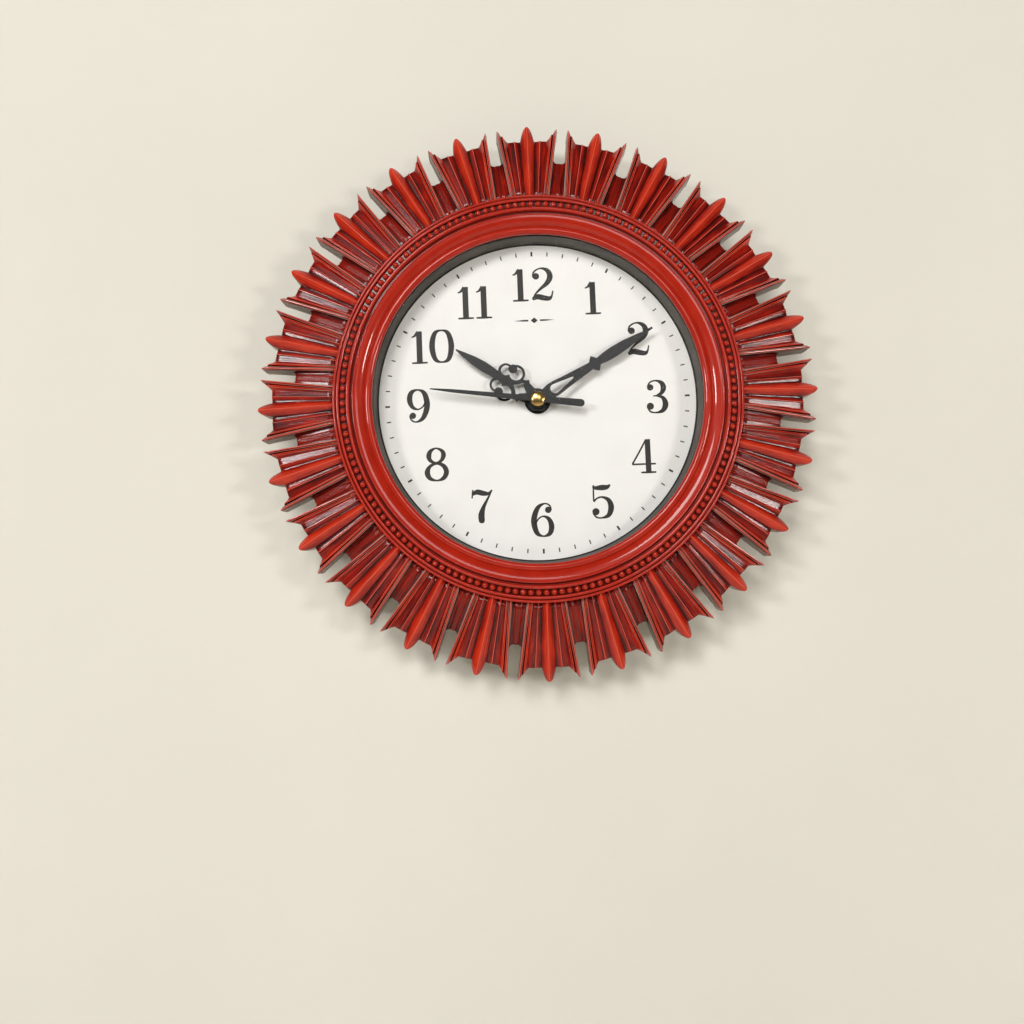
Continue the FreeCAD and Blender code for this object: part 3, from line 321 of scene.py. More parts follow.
paint = {
    "ray": rayPaint(),
    "bezel": bezelLacquer(),
    "lens": lensGlass(),
    "bareShell": moulded("unpainted_polystyrene_with_overspray", "#8f7f74", "#b3a79b", 0.6, 0.4),
    # matt dark grey, the shaded step between bezel and dial
    "greyWall": moulded("matte_grey_polystyrene", "#403d39", "#5b5751", 0.55, 0.5),
    # bright flat white with no shine, and soft black print on it
    "card": moulded("uncoated_white_card", "#f3f2ef", "#f8f7f5", 0.75, 0.3, 0.05),
    "ink": moulded("black_screen_ink", "#1d1a17", "#2b2722", 0.55, 0.2, 0.05),
    # plain black plastics of the back, the pan coarser than the movement
    "pan": moulded("black_polypropylene", "#1b1b1c", "#28282a", 0.5, 0.6, 0.25),
    "movement": moulded("black_abs", "#0e0e0f", "#18181a", 0.42, 0.5, 0.2),
    # black with a soft sheen that lights the edges of the hands
    "hand": moulded("satin_black_lacquer_on_aluminium", "#050505", "#0b0a09", 0.38, 0.25, 0.06),
    # milky gears and bobbin
    "acetal": moulded("natural_acetal", "#d6d0c0", "#e6e1d3", 0.45, 0.4, 0.06),
    "nylon": moulded("natural_nylon", "#c9c6b6", "#dad7c9", 0.5, 0.4, 0.06),
    # dull rubber, green board, glossy black drop of resin and the cell's blue sleeve
    "rubber": moulded("black_rubber", "#0d0d0d", "#171717", 0.8, 0.5, 0.2),
    "board": moulded("green_solder_mask", "#14401f", "#1d5429", 0.35, 0.6, 0.1),
    "resin": moulded("black_potting_resin", "#070707", "#0f0f10", 0.25, 0.8, 0.1),
    "sleeve": moulded("blue_shrink_sleeve", "#1d3c6e", "#264a82", 0.3, 1.2, 0.05),
    # greyish bright plating on the hanger, screws and contacts
    "zinc": rolledMetal("zinc_plated_steel", "#9a9a98", "#c2c2bf", 0.32, (900, 900, 60)),
    "nickel": rolledMetal("nickel_plated_strip", "#a8a69f", "#cbc9c1", 0.25, (60, 900, 900)),
    # the yellow spot in the middle of the dial
    "brass": rolledMetal("turned_brass", "#c39a55", "#dfc280", 0.24, (300, 300, 300)),
    # red-brown windings with fine turns, and dull grey laminations
    "copper": rolledMetal("enamelled_copper_wire", "#8a3b18", "#b85a28", 0.35, (2600, 60, 60)),
    "iron": rolledMetal("silicon_steel_sheet", "#6f7073", "#939498", 0.4, (900, 900, 60)),
}
print("finishes made")


# ---- the ring of pleated rays, 24 alike

rays = {
    "count": 24, "innerRadius": 107.6, "startRadius": 108.5, "shoulder": 142.7, "notch": 130.2, "corner": 2.6,
    "finial": 7.3, "spike": 5.7, "skirtDepth": 15.0, "wall": 1.3,
    # half widths, and below them depths from the wall, at the inner end and at the shoulder
    "ribWidth": (2.3, 3.7), "ridgeWidth": (9.7, 15.3),
    "crest": (35.0, 29.3), "rib": (33.2, 26.6), "flute": (32.4, 25.6), "ridge": (34.5, 28.6),
    "valley": (30.8, 21.8),
    # the rounded nose of the crest: share of the half width and share of the fall to the rib
    "nose": ((0, 0), (0.1, 0.05), (0.28, 0.26), (0.5, 0.5), (0.7, 0.72), (0.86, 0.88), (0.95, 0.96)),
    "noseFullness": 2.4, "hem": 0.45, "hemStart": 0.08,
}


def between(ends, height):
    share = (height - rays["startRadius"]) / (rays["shoulder"] - rays["startRadius"])
    return ends[0] + (ends[1] - ends[0]) * share


def rayColumns(height):
    # across half a petal at one height: (x, depth, how raised the fold is, end height); how raised the fold
    # is sets the painted highlight and painted shade in the ray paint
    rib, ridge = between(rays["ribWidth"], height), between(rays["ridgeWidth"], height)
    folds = ("crest", "rib", "flute", "ridge", "valley")
    crest, ribDepth, flute, ridgeDepth, valley = (between(rays[fold], height) for fold in folds)
    low = (rib + ridge) * 0.56
    edge = height * math.tan(math.pi / rays["count"])
    shoulder, notch, corner = rays["shoulder"], rays["notch"], rays["corner"]
    wide = height / rays["shoulder"]  # fine folds narrow toward the centre with the rest
    spike, finial, full = rays["spike"], rays["finial"], rays["noseFullness"]
    columns = [(rib * share, crest + (ribDepth - crest) * fall, 1 - fall * 0.6,
                shoulder + finial * (1 - share ** full)) for share, fall in rays["nose"]]
    columns += [
        (rib, ribDepth, 0.3, shoulder),
        (rib + 0.4 * wide, ribDepth - 0.9, 0.0, shoulder),
        (rib + 1.0 * wide, ribDepth - 1.0, 0.0, shoulder),
    ]
    # a fine rib halfway to the flute: share of the way, step up from the rib, how raised
    for share, step, raised in ((0.42, -0.45, 0.6), (0.47, 0.25, 1.0), (0.51, 0.2, 1.0), (0.55, -0.6, 0.1)):
        columns.append((rib + (low - rib) * share, ribDepth + step, raised, shoulder))
    columns.append((low, flute, 0.35, shoulder))
    # up the side of the ridge, with a step at half way: share across, share of the rise, how raised, and
    # how far out along the spike
    for share, rise, raised, reach in ((0.25, 0.3, 0.5, 0.2), (0.5, 0.85, 1.0, 0.44), (0.55, 0.82, 0.9, 0.5),
                                       (0.62, 0.4, 0.0, 0.57), (0.86, 0.78, 0.6, 0.83)):
        columns.append((low + (ridge - low) * share, flute + (ridgeDepth - flute) * rise, raised,
                        shoulder + spike * reach))
    # over the ridge and down the wall of the notch
    columns += [
        (ridge - 0.25, ridgeDepth - 0.05, 1.0, shoulder + spike * 0.97),
        (ridge + 0.05, ridgeDepth - 0.1, 1.0, shoulder + spike),
        (ridge + 0.25, ridgeDepth - 0.5, 0.6, shoulder + spike),
        (ridge + 0.5, valley + 0.3, 0.0, shoulder + spike),
        (ridge + 0.75, valley, 0.1, notch + corner * 0.62),
        (ridge + 1.3, valley - 0.02, 0.2, notch + corner * 0.28),
        (ridge + 2.2, valley - 0.02, 0.2, notch + corner * 0.07),
    ]
    floor = edge - ridge
    # a low bead down the floor between two petals
    for share, rise, raised in ((0.58, 0, 0.3), (0.65, 0.45, 1.0), (0.72, 0, 0.3), (1.0, 0, 0.3)):
        columns.append((ridge + floor * share, valley + rise, raised, notch))
    return columns


def rayPetal():
    # half a petal of columns that run out from the centre, mirrored, with the skirt hanging from its outline
    points, faces, uvs, folds, bare = [], [], [], [], []
    notchTop = rays["notch"] + rays["corner"]
    ends = [column[3] for column in rayColumns(rays["notch"])]
    count = len(ends)
    wallColumn = next(c for c in range(count) if ends[c] < rays["shoulder"]) - 1
    # rows up to the top of the notch, and shares of the way from there to each column's end
    rows = 6
    lower = [rays["innerRadius"] + (notchTop - rays["innerRadius"]) * i / rows for i in range(rows + 1)]
    outer = [0.25, 0.5, 0.75, 0.93, 1.0]
    leastRow = 0.01

    def addPoint(column, height, side, drop):
        x, depth, fold, _ = rayColumns(height)[column]
        points.append((side * x, depth - drop, height))
        uvs.append((side * rayColumns(rays["shoulder"])[column][0], height))
        folds.append(fold)
        return len(points) - 1

    for side in (1, -1):
        grid = {}
        for c in range(count):
            end = ends[c]
            if c > wallColumn:
                heights = [min(h, end - leastRow * (rows - i)) for i, h in enumerate(lower)]
                heights[-1] = end
            else:
                heights = lower + [notchTop + (end - notchTop) * share for share in outer]
            last = len(heights) - 1
            drops = [0.0] * len(heights)
            drops[last] = rays["hem"]
            if c < wallColumn:
                drops[last - 1] = rays["hemStart"]
            grid[c] = [addPoint(c, h, side, drop) for h, drop in zip(heights, drops)]
        for c in range(count - 1):
            for i in range(min(len(grid[c]), len(grid[c + 1])) - 1):
                faces.append((grid[c][i], grid[c][i + 1], grid[c + 1][i + 1], grid[c + 1][i]))
                bare.append(False)
        outline = [(c, grid[c][-1]) for c in range(wallColumn + 1)]
        outline += [(wallColumn, grid[wallColumn][i]) for i in range(len(grid[wallColumn]) - 2, rows - 1, -1)]
        outline += [(c, grid[c][-1]) for c in range(wallColumn + 1, count)]
        hems = []
        for c, top in outline:
            x, depth, height = points[top]
            points.append((x, rays["skirtDepth"], height))
            uvs.append((x, height))
            folds.append(0.0)
            hems.append(len(points) - 1)
        for k in range(len(outline) - 1):
            faces.append((outline[k][1], hems[k], hems[k + 1], outline[k + 1][1]))
            bare.append(True)
    thing = meshObject("rays", [(x, -depth, height) for x, depth, height in points], faces)
    mesh = thing.data
    layer = mesh.uv_layers.new(name="rays")
    for loop in mesh.loops:
        layer.data[loop.index].uv = uvs[loop.vertex_index]
    # fold holds how raised each point is, which the ray paint turns into painted highlight on ridges and
    # painted shade in grooves
    mesh.attributes.new("fold", "FLOAT", "POINT").data.foreach_set("value", folds)
    mesh.attributes.new("bare", "BOOLEAN", "FACE").data.foreach_set("value", bare)
    tidyNormals(thing)
    return thing


def rayRingTree():
    # turns one petal into the whole ring, with a shade of its own for each petal
    tree, start = newTree("rayRing", [
        ("Count", "NodeSocketInt", 24), ("Seed", "NodeSocketInt", 7), ("Merge", "NodeSocketFloat", 0.00002),
        ("Front", "NodeSocketMaterial", None), ("Skirt", "NodeSocketMaterial", None)])
    points = addNode(tree, "GeometryNodePoints", links={"Count": start.outputs["Count"]})
    index = addNode(tree, "GeometryNodeInputIndex")
    whole = addNode(tree, "ShaderNodeMath", {0: 2 * math.pi}, {1: start.outputs["Count"]}, operation="DIVIDE")
    angle = addNode(tree, "ShaderNodeMath", links={0: index.outputs["Index"], 1: whole.outputs["Value"]},
                    operation="MULTIPLY")
    turn = addNode(tree, "ShaderNodeCombineXYZ", links={"Y": angle.outputs["Value"]})
    copies = addNode(tree, "GeometryNodeInstanceOnPoints",
                     links={"Points": points.outputs["Points"], "Instance": start.outputs["Geometry"],
                            "Rotation": turn.outputs["Vector"]})
    shade = addNode(tree, "FunctionNodeRandomValue", links={"Seed": start.outputs["Seed"]}, data_type="FLOAT")
    store = addNode(tree, "GeometryNodeStoreNamedAttribute", {"Name": "petalShade"},
                    {"Geometry": copies.outputs["Instances"], "Value": shade.outputs[1]},
                    data_type="FLOAT", domain="INSTANCE")
    real = addNode(tree, "GeometryNodeRealizeInstances", links={"Geometry": store.outputs["Geometry"]})
    merged = addNode(tree, "GeometryNodeMergeByDistance",
                     links={"Geometry": real.outputs["Geometry"], "Distance": start.outputs["Merge"]})
    painted = addNode(tree, "GeometryNodeSetMaterial",
                      links={"Geometry": merged.outputs["Geometry"], "Material": start.outputs["Front"]})
    bare = addNode(tree, "GeometryNodeInputNamedAttribute", {"Name": "bare"}, data_type="BOOLEAN")
    skirt = addNode(tree, "GeometryNodeSetMaterial",
                    links={"Geometry": painted.outputs["Geometry"], "Material": start.outputs["Skirt"],
                           "Selection": bare.outputs["Attribute"]})
    addNode(tree, "NodeGroupOutput", links={"Geometry": skirt.outputs["Geometry"]})
    return tree


rayRing = rayPetal()
applyTree(rayRing, rayRingTree(),
          {"Count": rays["count"], "Front": paint["ray"], "Skirt": paint["bareShell"]})
tidyNormals(rayRing)
rayRing.data.set_sharp_from_angle(angle=math.radians(38))
shell = rayRing.modifiers.new("shell", "SOLIDIFY")
shell.thickness = rays["wall"] * mm
shell.offset = -1
shell.material_offset = 1
shell.material_offset_rim = 1
finishPiece(rayRing, "case", replaced=("sunburst",))

# the flat flange and the upright collar behind the bezel, which the pan is screwed to
collar = lathe("ray_collar", [(21.2, 94.2), (21.2, 109.9), (30.0, 109.9),
                              (30.0, 108.4), (23.0, 108.4), (23.0, 94.2)])
finishPiece(collar, "case", paint["bareShell"])
print("rays made")


# ---- bezel: a turned moulding with a rope of beads

bezel = {
    "grooves": [(98.3, 0.5), (101.0, 0.2), (104.4, 0.2), (106.4, 0.25)],  # radius and width of each groove
    "beads": 160, "beadRadius": 102.7, "beadDepth": 36.4, "beadSize": 3.4,
}


def bezelProfile():
    # (depth, radius), and the radius of the round where the way there is one
    lip = [(33.2, 87.7), (34.4, 87.7), (34.4, 91.8, 2.3), (36.6, 96.9, 7.0), (36.8, 97.9, 0.62)]
    innerFillet = [(36.1, 98.2), (36.1, 98.8), (37.8, 99.1), (37.8, 101.0, 1.15)]
    beadTrough = [(36.0, 101.1), (36.0, 104.3)]
    outerFillets = [(37.0, 104.5), (37.0, 106.2, 1.0), (36.0, 106.4), (36.4, 106.8), (36.3, 108.1, 0.75)]
    back = [(23.0, 108.1), (23.0, 106.1), (33.7, 106.1), (33.2, 95.9), (32.2, 93.8), (21.2, 93.8),
            (21.2, 91.8), (33.2, 91.8)]
    profile = []
    for corner in lip + innerFillet + beadTrough + outerFillets + back:
        if len(corner) == 3:
            profile += arc(profile[-1], corner[:2], corner[2], 7)
        else:
            profile.append(corner)
    return profile


def beadTree():
    # beads on a circle that faces the reader
    tree, start = newTree("beadRope", [
        ("Count", "NodeSocketInt", 160), ("Radius", "NodeSocketFloat", 0.1),
        ("Bead Size", "NodeSocketFloat", 0.003), ("Depth", "NodeSocketFloat", 0.03),
        ("Finish", "NodeSocketMaterial", None)])
    points = addNode(tree, "GeometryNodePoints", links={"Count": start.outputs["Count"]})
    index = addNode(tree, "GeometryNodeInputIndex")
    whole = addNode(tree, "ShaderNodeMath", {0: 2 * math.pi}, {1: start.outputs["Count"]}, operation="DIVIDE")
    angle = addNode(tree, "ShaderNodeMath", links={0: index.outputs["Index"], 1: whole.outputs["Value"]},
                    operation="MULTIPLY")
    turn = addNode(tree, "ShaderNodeCombineXYZ", links={"Y": angle.outputs["Value"]})
    half = addNode(tree, "ShaderNodeMath", {1: 0.5}, {0: start.outputs["Bead Size"]}, operation="MULTIPLY")
    ball = addNode(tree, "GeometryNodeMeshUVSphere", {"Segments": 8, "Rings": 6},
                   {"Radius": half.outputs["Value"]})
    forward = addNode(tree, "ShaderNodeMath", {1: -1.0}, {0: start.outputs["Depth"]}, operation="MULTIPLY")
    out = addNode(tree, "ShaderNodeCombineXYZ",
                  links={"Y": forward.outputs["Value"], "Z": start.outputs["Radius"]})
    placed = addNode(tree, "GeometryNodeTransform",
                     links={"Geometry": ball.outputs["Mesh"], "Translation": out.outputs["Vector"]})
    copies = addNode(tree, "GeometryNodeInstanceOnPoints",
                     links={"Points": points.outputs["Points"], "Instance": placed.outputs["Geometry"],
                            "Rotation": turn.outputs["Vector"]})
    real = addNode(tree, "GeometryNodeRealizeInstances", links={"Geometry": copies.outputs["Instances"]})
    smoothed = addNode(tree, "GeometryNodeSetShadeSmooth", links={"Geometry": real.outputs["Geometry"]})
    painted = addNode(tree, "GeometryNodeSetMaterial",
                      links={"Geometry": smoothed.outputs["Geometry"], "Material": start.outputs["Finish"]})
    addNode(tree, "NodeGroupOutput", links={"Geometry": painted.outputs["Geometry"]})
    return tree


def storePool(thing):
    # painted shade in the grooves: how dark each point is, stored on the mesh by radius
    grooveShade = []
    for v in thing.data.vertices:
        radius = math.hypot(v.co.x, v.co.z) / mm
        grooveShade.append(max(math.exp(-((radius - g) / w) ** 2) for g, w in bezel["grooves"]))
    thing.data.attributes.new("grooveShade", "FLOAT", "POINT").data.foreach_set("value", grooveShade)


moulding = lathe("bezel_moulding", bezelProfile(), 256)
moulding.data.set_sharp_from_angle(angle=math.radians(40))
storePool(moulding)
finishPiece(moulding, "case", paint["bezel"], ("bezel",))

beadRope = meshObject("bezel_beads", [(0, 0, 0)], [])
applyTree(beadRope, beadTree(), {"Count": bezel["beads"], "Radius": bezel["beadRadius"] * mm,
                                 "Bead Size": bezel["beadSize"] * mm, "Depth": bezel["beadDepth"] * mm,
                                 "Finish": paint["bezel"]})
finishPiece(beadRope, "case")
print("bezel made")


# ---- inner ring, glass and dial

dial = {
    "face": 22.0, "inkLift": 0.06, "layerLift": 0.004,
    # a tick is (length, width)
    "tickRadius": 81.3, "hourTick": (2.5, 1.0), "minuteTick": (2.3, 0.62),
    "numeralHeight": 18.4, "numeralRadius": 64.5, "gapShadeRing": (86.0, 86.7), "ornamentHeight": 44.5,
}

innerRing = lathe("inner_ring", [(22.0, 86.7), (31.0, 87.55), (31.2, 87.75), (31.2, 91.4), (22.0, 91.4)])
innerRing.data.set_sharp_from_angle(angle=math.radians(40))
finishPiece(innerRing, "case", paint["greyWall"], ("spacer_ring",))

lens = lathe("lens", [(31.2, 0), (31.2, 91.1), (31.5, 91.4), (32.9, 91.4), (33.2, 91.1), (33.2, 0)],
             closed=False)
lens.data.set_sharp_from_angle(angle=math.radians(30))
finishPiece(lens, "case", paint["lens"], ("glass",))

card = lathe("card", [(21.2, 4.15), (22.0, 4.15), (22.0, 91.3), (21.9, 91.4), (21.2, 91.4)])
card.data.set_sharp_from_angle(angle=math.radians(30))
finishPiece(card, "case", paint["card"], ("dial_card",))

# painted shadow: a thin black ring of ink at the dial's edge stands for the dark gap between the dial and the
# grey ring
gapShadeRing = lathe("dial_gap_shade_ring", [(22.01, dial["gapShadeRing"][0]), (22.06, dial["gapShadeRing"][0]),
                                    (22.06, dial["gapShadeRing"][1]), (22.01, dial["gapShadeRing"][1])])
finishPiece(gapShadeRing, "case", paint["ink"])


def tickTree():
    # 60 flat ink bars, every fifth one longer and bolder
    tree, start = newTree("dialTicks", [
        ("Radius", "NodeSocketFloat", 0.08), ("Face", "NodeSocketFloat", 0.022),
        ("Hour Length", "NodeSocketFloat", 0.0025), ("Hour Width", "NodeSocketFloat", 0.001),
        ("Minute Length", "NodeSocketFloat", 0.0022), ("Minute Width", "NodeSocketFloat", 0.0004),
        ("Ink", "NodeSocketMaterial", None)])
    points = addNode(tree, "GeometryNodePoints", {"Count": 60})
    index = addNode(tree, "GeometryNodeInputIndex")
    angle = addNode(tree, "ShaderNodeMath", {1: math.pi / 30}, {0: index.outputs["Index"]},
                    operation="MULTIPLY")
    turn = addNode(tree, "ShaderNodeCombineXYZ", links={"Y": angle.outputs["Value"]})
    fifth = addNode(tree, "ShaderNodeMath", {1: 5.0}, {0: index.outputs["Index"]}, operation="MODULO")
    isHour = addNode(tree, "ShaderNodeMath", {1: 0.5}, {0: fifth.outputs["Value"]}, operation="LESS_THAN")
    length = addNode(tree, "ShaderNodeMix", links={
        0: isHour.outputs["Value"], 2: start.outputs["Minute Length"], 3: start.outputs["Hour Length"]})
    width = addNode(tree, "ShaderNodeMix", links={
        0: isHour.outputs["Value"], 2: start.outputs["Minute Width"], 3: start.outputs["Hour Width"]})
    size = addNode(tree, "ShaderNodeCombineXYZ", {"Y": 0.00005},
                   {"X": width.outputs[0], "Z": length.outputs[0]})
    bar = addNode(tree, "GeometryNodeMeshCube", {"Size": (1, 1, 1)})
    forward = addNode(tree, "ShaderNodeMath", {1: -1.0}, {0: start.outputs["Face"]}, operation="MULTIPLY")
    out = addNode(tree, "ShaderNodeCombineXYZ",
                  links={"Y": forward.outputs["Value"], "Z": start.outputs["Radius"]})
    around = addNode(tree, "ShaderNodeVectorRotate",
                     links={"Vector": out.outputs["Vector"], "Angle": angle.outputs["Value"]},
                     rotation_type="Y_AXIS")
    spread = addNode(tree, "GeometryNodeSetPosition",
                     links={"Geometry": points.outputs["Points"], "Position": around.outputs["Vector"]})
    copies = addNode(tree, "GeometryNodeInstanceOnPoints",
                     links={"Points": spread.outputs["Geometry"], "Instance": bar.outputs["Mesh"],
                            "Rotation": turn.outputs["Vector"], "Scale": size.outputs["Vector"]})
    real = addNode(tree, "GeometryNodeRealizeInstances", links={"Geometry": copies.outputs["Instances"]})
    painted = addNode(tree, "GeometryNodeSetMaterial",
                      links={"Geometry": real.outputs["Geometry"], "Material": start.outputs["Ink"]})
    addNode(tree, "NodeGroupOutput", links={"Geometry": painted.outputs["Geometry"]})
    return tree


ticks = meshObject("dial_ticks", [(0, 0, 0)], [])
applyTree(ticks, tickTree(), {
    "Radius": dial["tickRadius"] * mm, "Face": (dial["face"] + 0.03) * mm,
    "Hour Length": dial["hourTick"][0] * mm, "Hour Width": dial["hourTick"][1] * mm,
    "Minute Length": dial["minuteTick"][0] * mm, "Minute Width": dial["minuteTick"][1] * mm,
    "Ink": paint["ink"]})
finishPiece(ticks, "case")


# Old-style book numerals on a body 100 tall: pen strokes (x, y, pen width), open or closed, and ball ends
# (x, y, radius).
glyphs = {
    "0": {
        "width": 72,
        "closed": [[(36, 97.5, 5), (56, 88, 13), (64.5, 50, 17), (56, 12, 13), (36, 2.5, 5), (16, 12, 13),
                    (7.5, 50, 17), (16, 88, 13)]],
    },
    "1": {
        "width": 46,
        "open": [[(24, 0, 17), (24, 50, 17), (24, 97, 17)],
                 [(2, 80, 4), (10, 83, 6), (22, 94, 14)],
                 [(1, 2.4, 4.8), (24, 2.4, 6), (47, 2.4, 4.8)]],
    },
    "2": {
        "width": 68,
        "open": [[(8, 72, 5), (12, 88, 5), (32, 97.5, 5), (52, 90, 13), (59, 72, 17), (50, 53, 14),
                  (30, 36, 8), (13, 19, 5), (6, 3, 4)],
                 [(5, 5, 9), (20, 12, 16), (38, 8, 16), (54, 6, 13), (62, 13, 6), (66, 29, 3.5)]],
        "balls": [(17, 74, 10)],
    },
    "3": {
        "width": 66,
        "open": [[(8, 80, 4), (16, 93, 5), (33, 97.5, 5), (50, 90, 13), (55, 75, 16), (48, 60, 11),
                  (32, 52, 4.5)],
                 [(24, 52, 4.5), (34, 52, 4.5), (52, 46, 11), (59, 27, 17), (51, 9, 13), (32, 2.5, 5),
                  (14, 6, 5), (5, 20, 4)]],
        "balls": [(16, 78, 9.5), (14, 22, 10.5)],
    },
    "4": {
        "width": 72,
        "open": [[(50, 0, 16), (50, 50, 16), (50, 100, 16)],
                 [(45, 98, 5), (24, 62, 5), (3, 28, 5)],
                 [(2, 27, 5), (36, 27, 5), (72, 27, 5)],
                 [(28, 2.4, 4.8), (50, 2.4, 6), (72, 2.4, 4.8)]],
    },
    "5": {
        "width": 66,
        "open": [[(11, 98, 5), (13, 91, 9), (34, 91, 16), (50, 92, 13), (60, 99, 4)],
                 [(11, 99, 4.5), (10, 75, 4.5), (10, 51, 4.5)],
                 [(10, 50, 4.5), (20, 60, 5), (36, 63, 6), (54, 53, 13), (60, 32, 17), (52, 10, 13),
                  (33, 2.5, 5), (16, 5, 5), (6, 18, 4)]],
        "balls": [(15, 21, 10.5)],
    },
    "6": {
        "width": 70,
        "open": [[(62, 78, 4), (57, 92, 5), (42, 97.5, 5), (22, 85, 13), (10, 50, 17), (17, 14, 14),
                  (36, 2.5, 5), (55, 10, 13), (61, 31, 16), (54, 52, 12), (38, 60.5, 5), (23, 53, 4.5),
                  (14, 38, 4)]],
        "balls": [(53, 79, 9.5)],
    },
    "7": {
        "width": 66,
        "open": [[(5, 74, 4), (8, 99, 4.5)],
                 [(7, 85, 7), (20, 92, 15), (38, 88, 15), (54, 87, 9), (64, 97, 4)],
                 [(64, 97, 4), (52, 74, 6), (38, 48, 11), (31, 26, 18), (31, 9, 18)]],
        "balls": [(31, 9, 9)],
    },
    "8": {
        "width": 70,
        "closed": [[(35, 97.5, 5), (52, 89, 11), (56, 76, 14), (49, 61, 10), (33, 54, 7), (17, 62, 11),
                    (13, 76, 15), (19, 90, 11)],
                   [(36, 53, 8), (56, 44, 13), (63, 26, 15), (54, 9, 12), (35, 2.5, 5), (15, 9, 12),
                    (7, 26, 16), (15, 44, 10)]],
    },
}
# a nine is a six turned half round
six = glyphs["6"]
glyphs["9"] = {
    "width": six["width"],
    "open": [[(six["width"] - x, 100 - y, w) for x, y, w in stroke] for stroke in six["open"]],
    "balls": [(six["width"] - x, 100 - y, r) for x, y, r in six["balls"]],
}


def smoothPath(points, closed, steps=7):
    # a curve through the pen positions, pen width along with it
    count = len(points)
    path = []
    for i in range(count if closed else count - 1):
        a, b, c, d = (Vector(points[(i + k) % count] if closed else points[min(max(i + k, 0), count - 1)])
                      for k in (-1, 0, 1, 2))
        for step in range(steps):
            t = step / steps
            path.append(0.5 * (2 * b + (c - a) * t + (2 * a - 5 * b + 4 * c - d) * t ** 2
                               + (3 * b - a - 3 * c + d) * t ** 3))
    return path if closed else path + [Vector(points[-1])]


def penStroke(points, closed):
    path = smoothPath(points, closed)
    count = len(path)
    left, right = [], []
    for i, p in enumerate(path):
        before = path[(i - 1) % count] if closed or i else path[i]
        after = path[(i + 1) % count] if closed or i < count - 1 else path[i]
        way = Vector((after.x - before.x, after.y - before.y)).normalized()
        side = Vector((-way.y, way.x)) * p.z / 2
        left.append((p.x + side.x, p.y + side.y))
        right.append((p.x - side.x, p.y - side.y))
    faces = []
    for i in range(count if closed else count - 1):
        after = (i + 1) % count
        faces.append((i, after, count + after, count + i))
    return left + right, faces


def writeNumeral(text, centre, height, points, faces):
    # adds one numeral's strokes to a mesh under way, each a hair above the last so that none share a plane
    unit = height / 100
    gap = 8
    total = sum(glyphs[c]["width"] for c in text) + gap * (len(text) - 1)
    x0 = -total / 2
    for character in text:
        glyph = glyphs[character]
        shapes = [penStroke(s, False) for s in glyph.get("open", [])]
        shapes += [penStroke(s, True) for s in glyph.get("closed", [])]
        for x, y, r in glyph.get("balls", []):
            steps = 20
            turns = [2 * math.pi * k / steps for k in range(steps)]
            rim = [(x + r * math.cos(turn), y + r * math.sin(turn)) for turn in turns]
            shapes.append((rim, [tuple(range(steps))]))
        for layer, (outline, polygons) in enumerate(shapes):
            first = len(points)
            depth = dial["face"] + dial["inkLift"] + dial["layerLift"] * layer
            points += [(centre[0] + (x0 + x) * unit, -depth, centre[1] + (y - 50) * unit) for x, y in outline]
            faces += [tuple(first + i for i in polygon) for polygon in polygons]
        x0 += glyph["width"] + gap


def faceReader(thing):
    # flat ink has no inside, so every face is turned to look out of the dial
    work = bmesh.new()
    work.from_mesh(thing.data)
    for face in work.faces:
        face.normal_update()
        if face.normal.y > 0:
            face.normal_flip()
    work.to_mesh(thing.data)
    work.free()


numeralPoints, numeralFaces = [], []
for hour in range(1, 13):
    bearing = math.radians(hour * 30)
    centre = (dial["numeralRadius"] * math.sin(bearing), dial["numeralRadius"] * math.cos(bearing))
    writeNumeral(str(hour), centre, dial["numeralHeight"], numeralPoints, numeralFaces)
numerals = meshObject("dial_numerals", numeralPoints, numeralFaces, False)
faceReader(numerals)
finishPiece(numerals, "case", paint["ink"])

# a small plain ornament under twelve: a diamond between two tapering dashes
dash = [(11, 0), (6, 0.45), (3.2, 0.45), (3.2, -0.45), (6, -0.45)]
diamond = [(0, 1.6), (1.9, 0), (0, -1.6), (-1.9, 0)]
ornament = [(-x, z) for x, z in dash] + diamond + dash
inkDepth = dial["face"] + dial["inkLift"]
flourish = meshObject("dial_flourish", [(x, -inkDepth, dial["ornamentHeight"] + z) for x, z in ornament],
                      [(0, 1, 2, 3, 4), (5, 6, 7, 8), (9, 10, 11, 12, 13)], False)
faceReader(flourish)
finishPiece(flourish, "case", paint["ink"])
print("dial made")


# ---- hands and cap

for node, body in (("hour_hand", "hour_train"), ("minute_hand", "minute_train"),
                   ("second_hand", "second_train")):
    stamped = softCopy(node, f"stamped_{node}", 0.09, 2, 30)
    finishPiece(stamped, body, paint["hand"], (node,))

# the brass cap is one smooth dome with a rolled foot
capRise = 1.4
capFoot = -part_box("hand_cap")[0].y / mm - capRise
dome = [(0, 0), (0, 3.75), (0.25, 4.0), (0.5, 3.85), (0.85, 3.1), (1.15, 2.1), (1.33, 1.1), (capRise, 0)]
cap = lathe("domed_cap", [(capFoot + rise, radius) for rise, radius in dome], 48, False)
finishPiece(cap, "second_train", paint["brass"], ("hand_cap",))
print("hands made")


# ---- the back: pan, hanger, screws and movement

# node, body, slot, finish and how far its arrises are rounded
outerPieces = (
    ("back_pan", "case", "pan_plastic", "pan", 0.5),
    ("hanger_plate", "case", "screw_steel", "zinc", 0.2),
    ("case_screws", "case", "screw_steel", "zinc", 0.12),
    ("hanger_screws", "case", "screw_steel", "zinc", 0.12),
    ("movement_rear", "case", "case_plastic", "movement", 0.35),
    ("movement_front", "case", "case_plastic", "movement", 0.35),
    ("setting_knob", "knob", "case_plastic", "movement", 0.1),
    ("mounting_nut", "case", "hand_black", "hand", 0.12),
    ("nut_washer", "case", "hand_black", "hand", 0.08),
    ("battery", "cell", "cell_wrap", "sleeve", 0.3),
)
for node, body, slotName, finish, width in outerPieces:
    finishPiece(softCopy(node, f"{node}_finished", width), body, paint[finish], (node,))

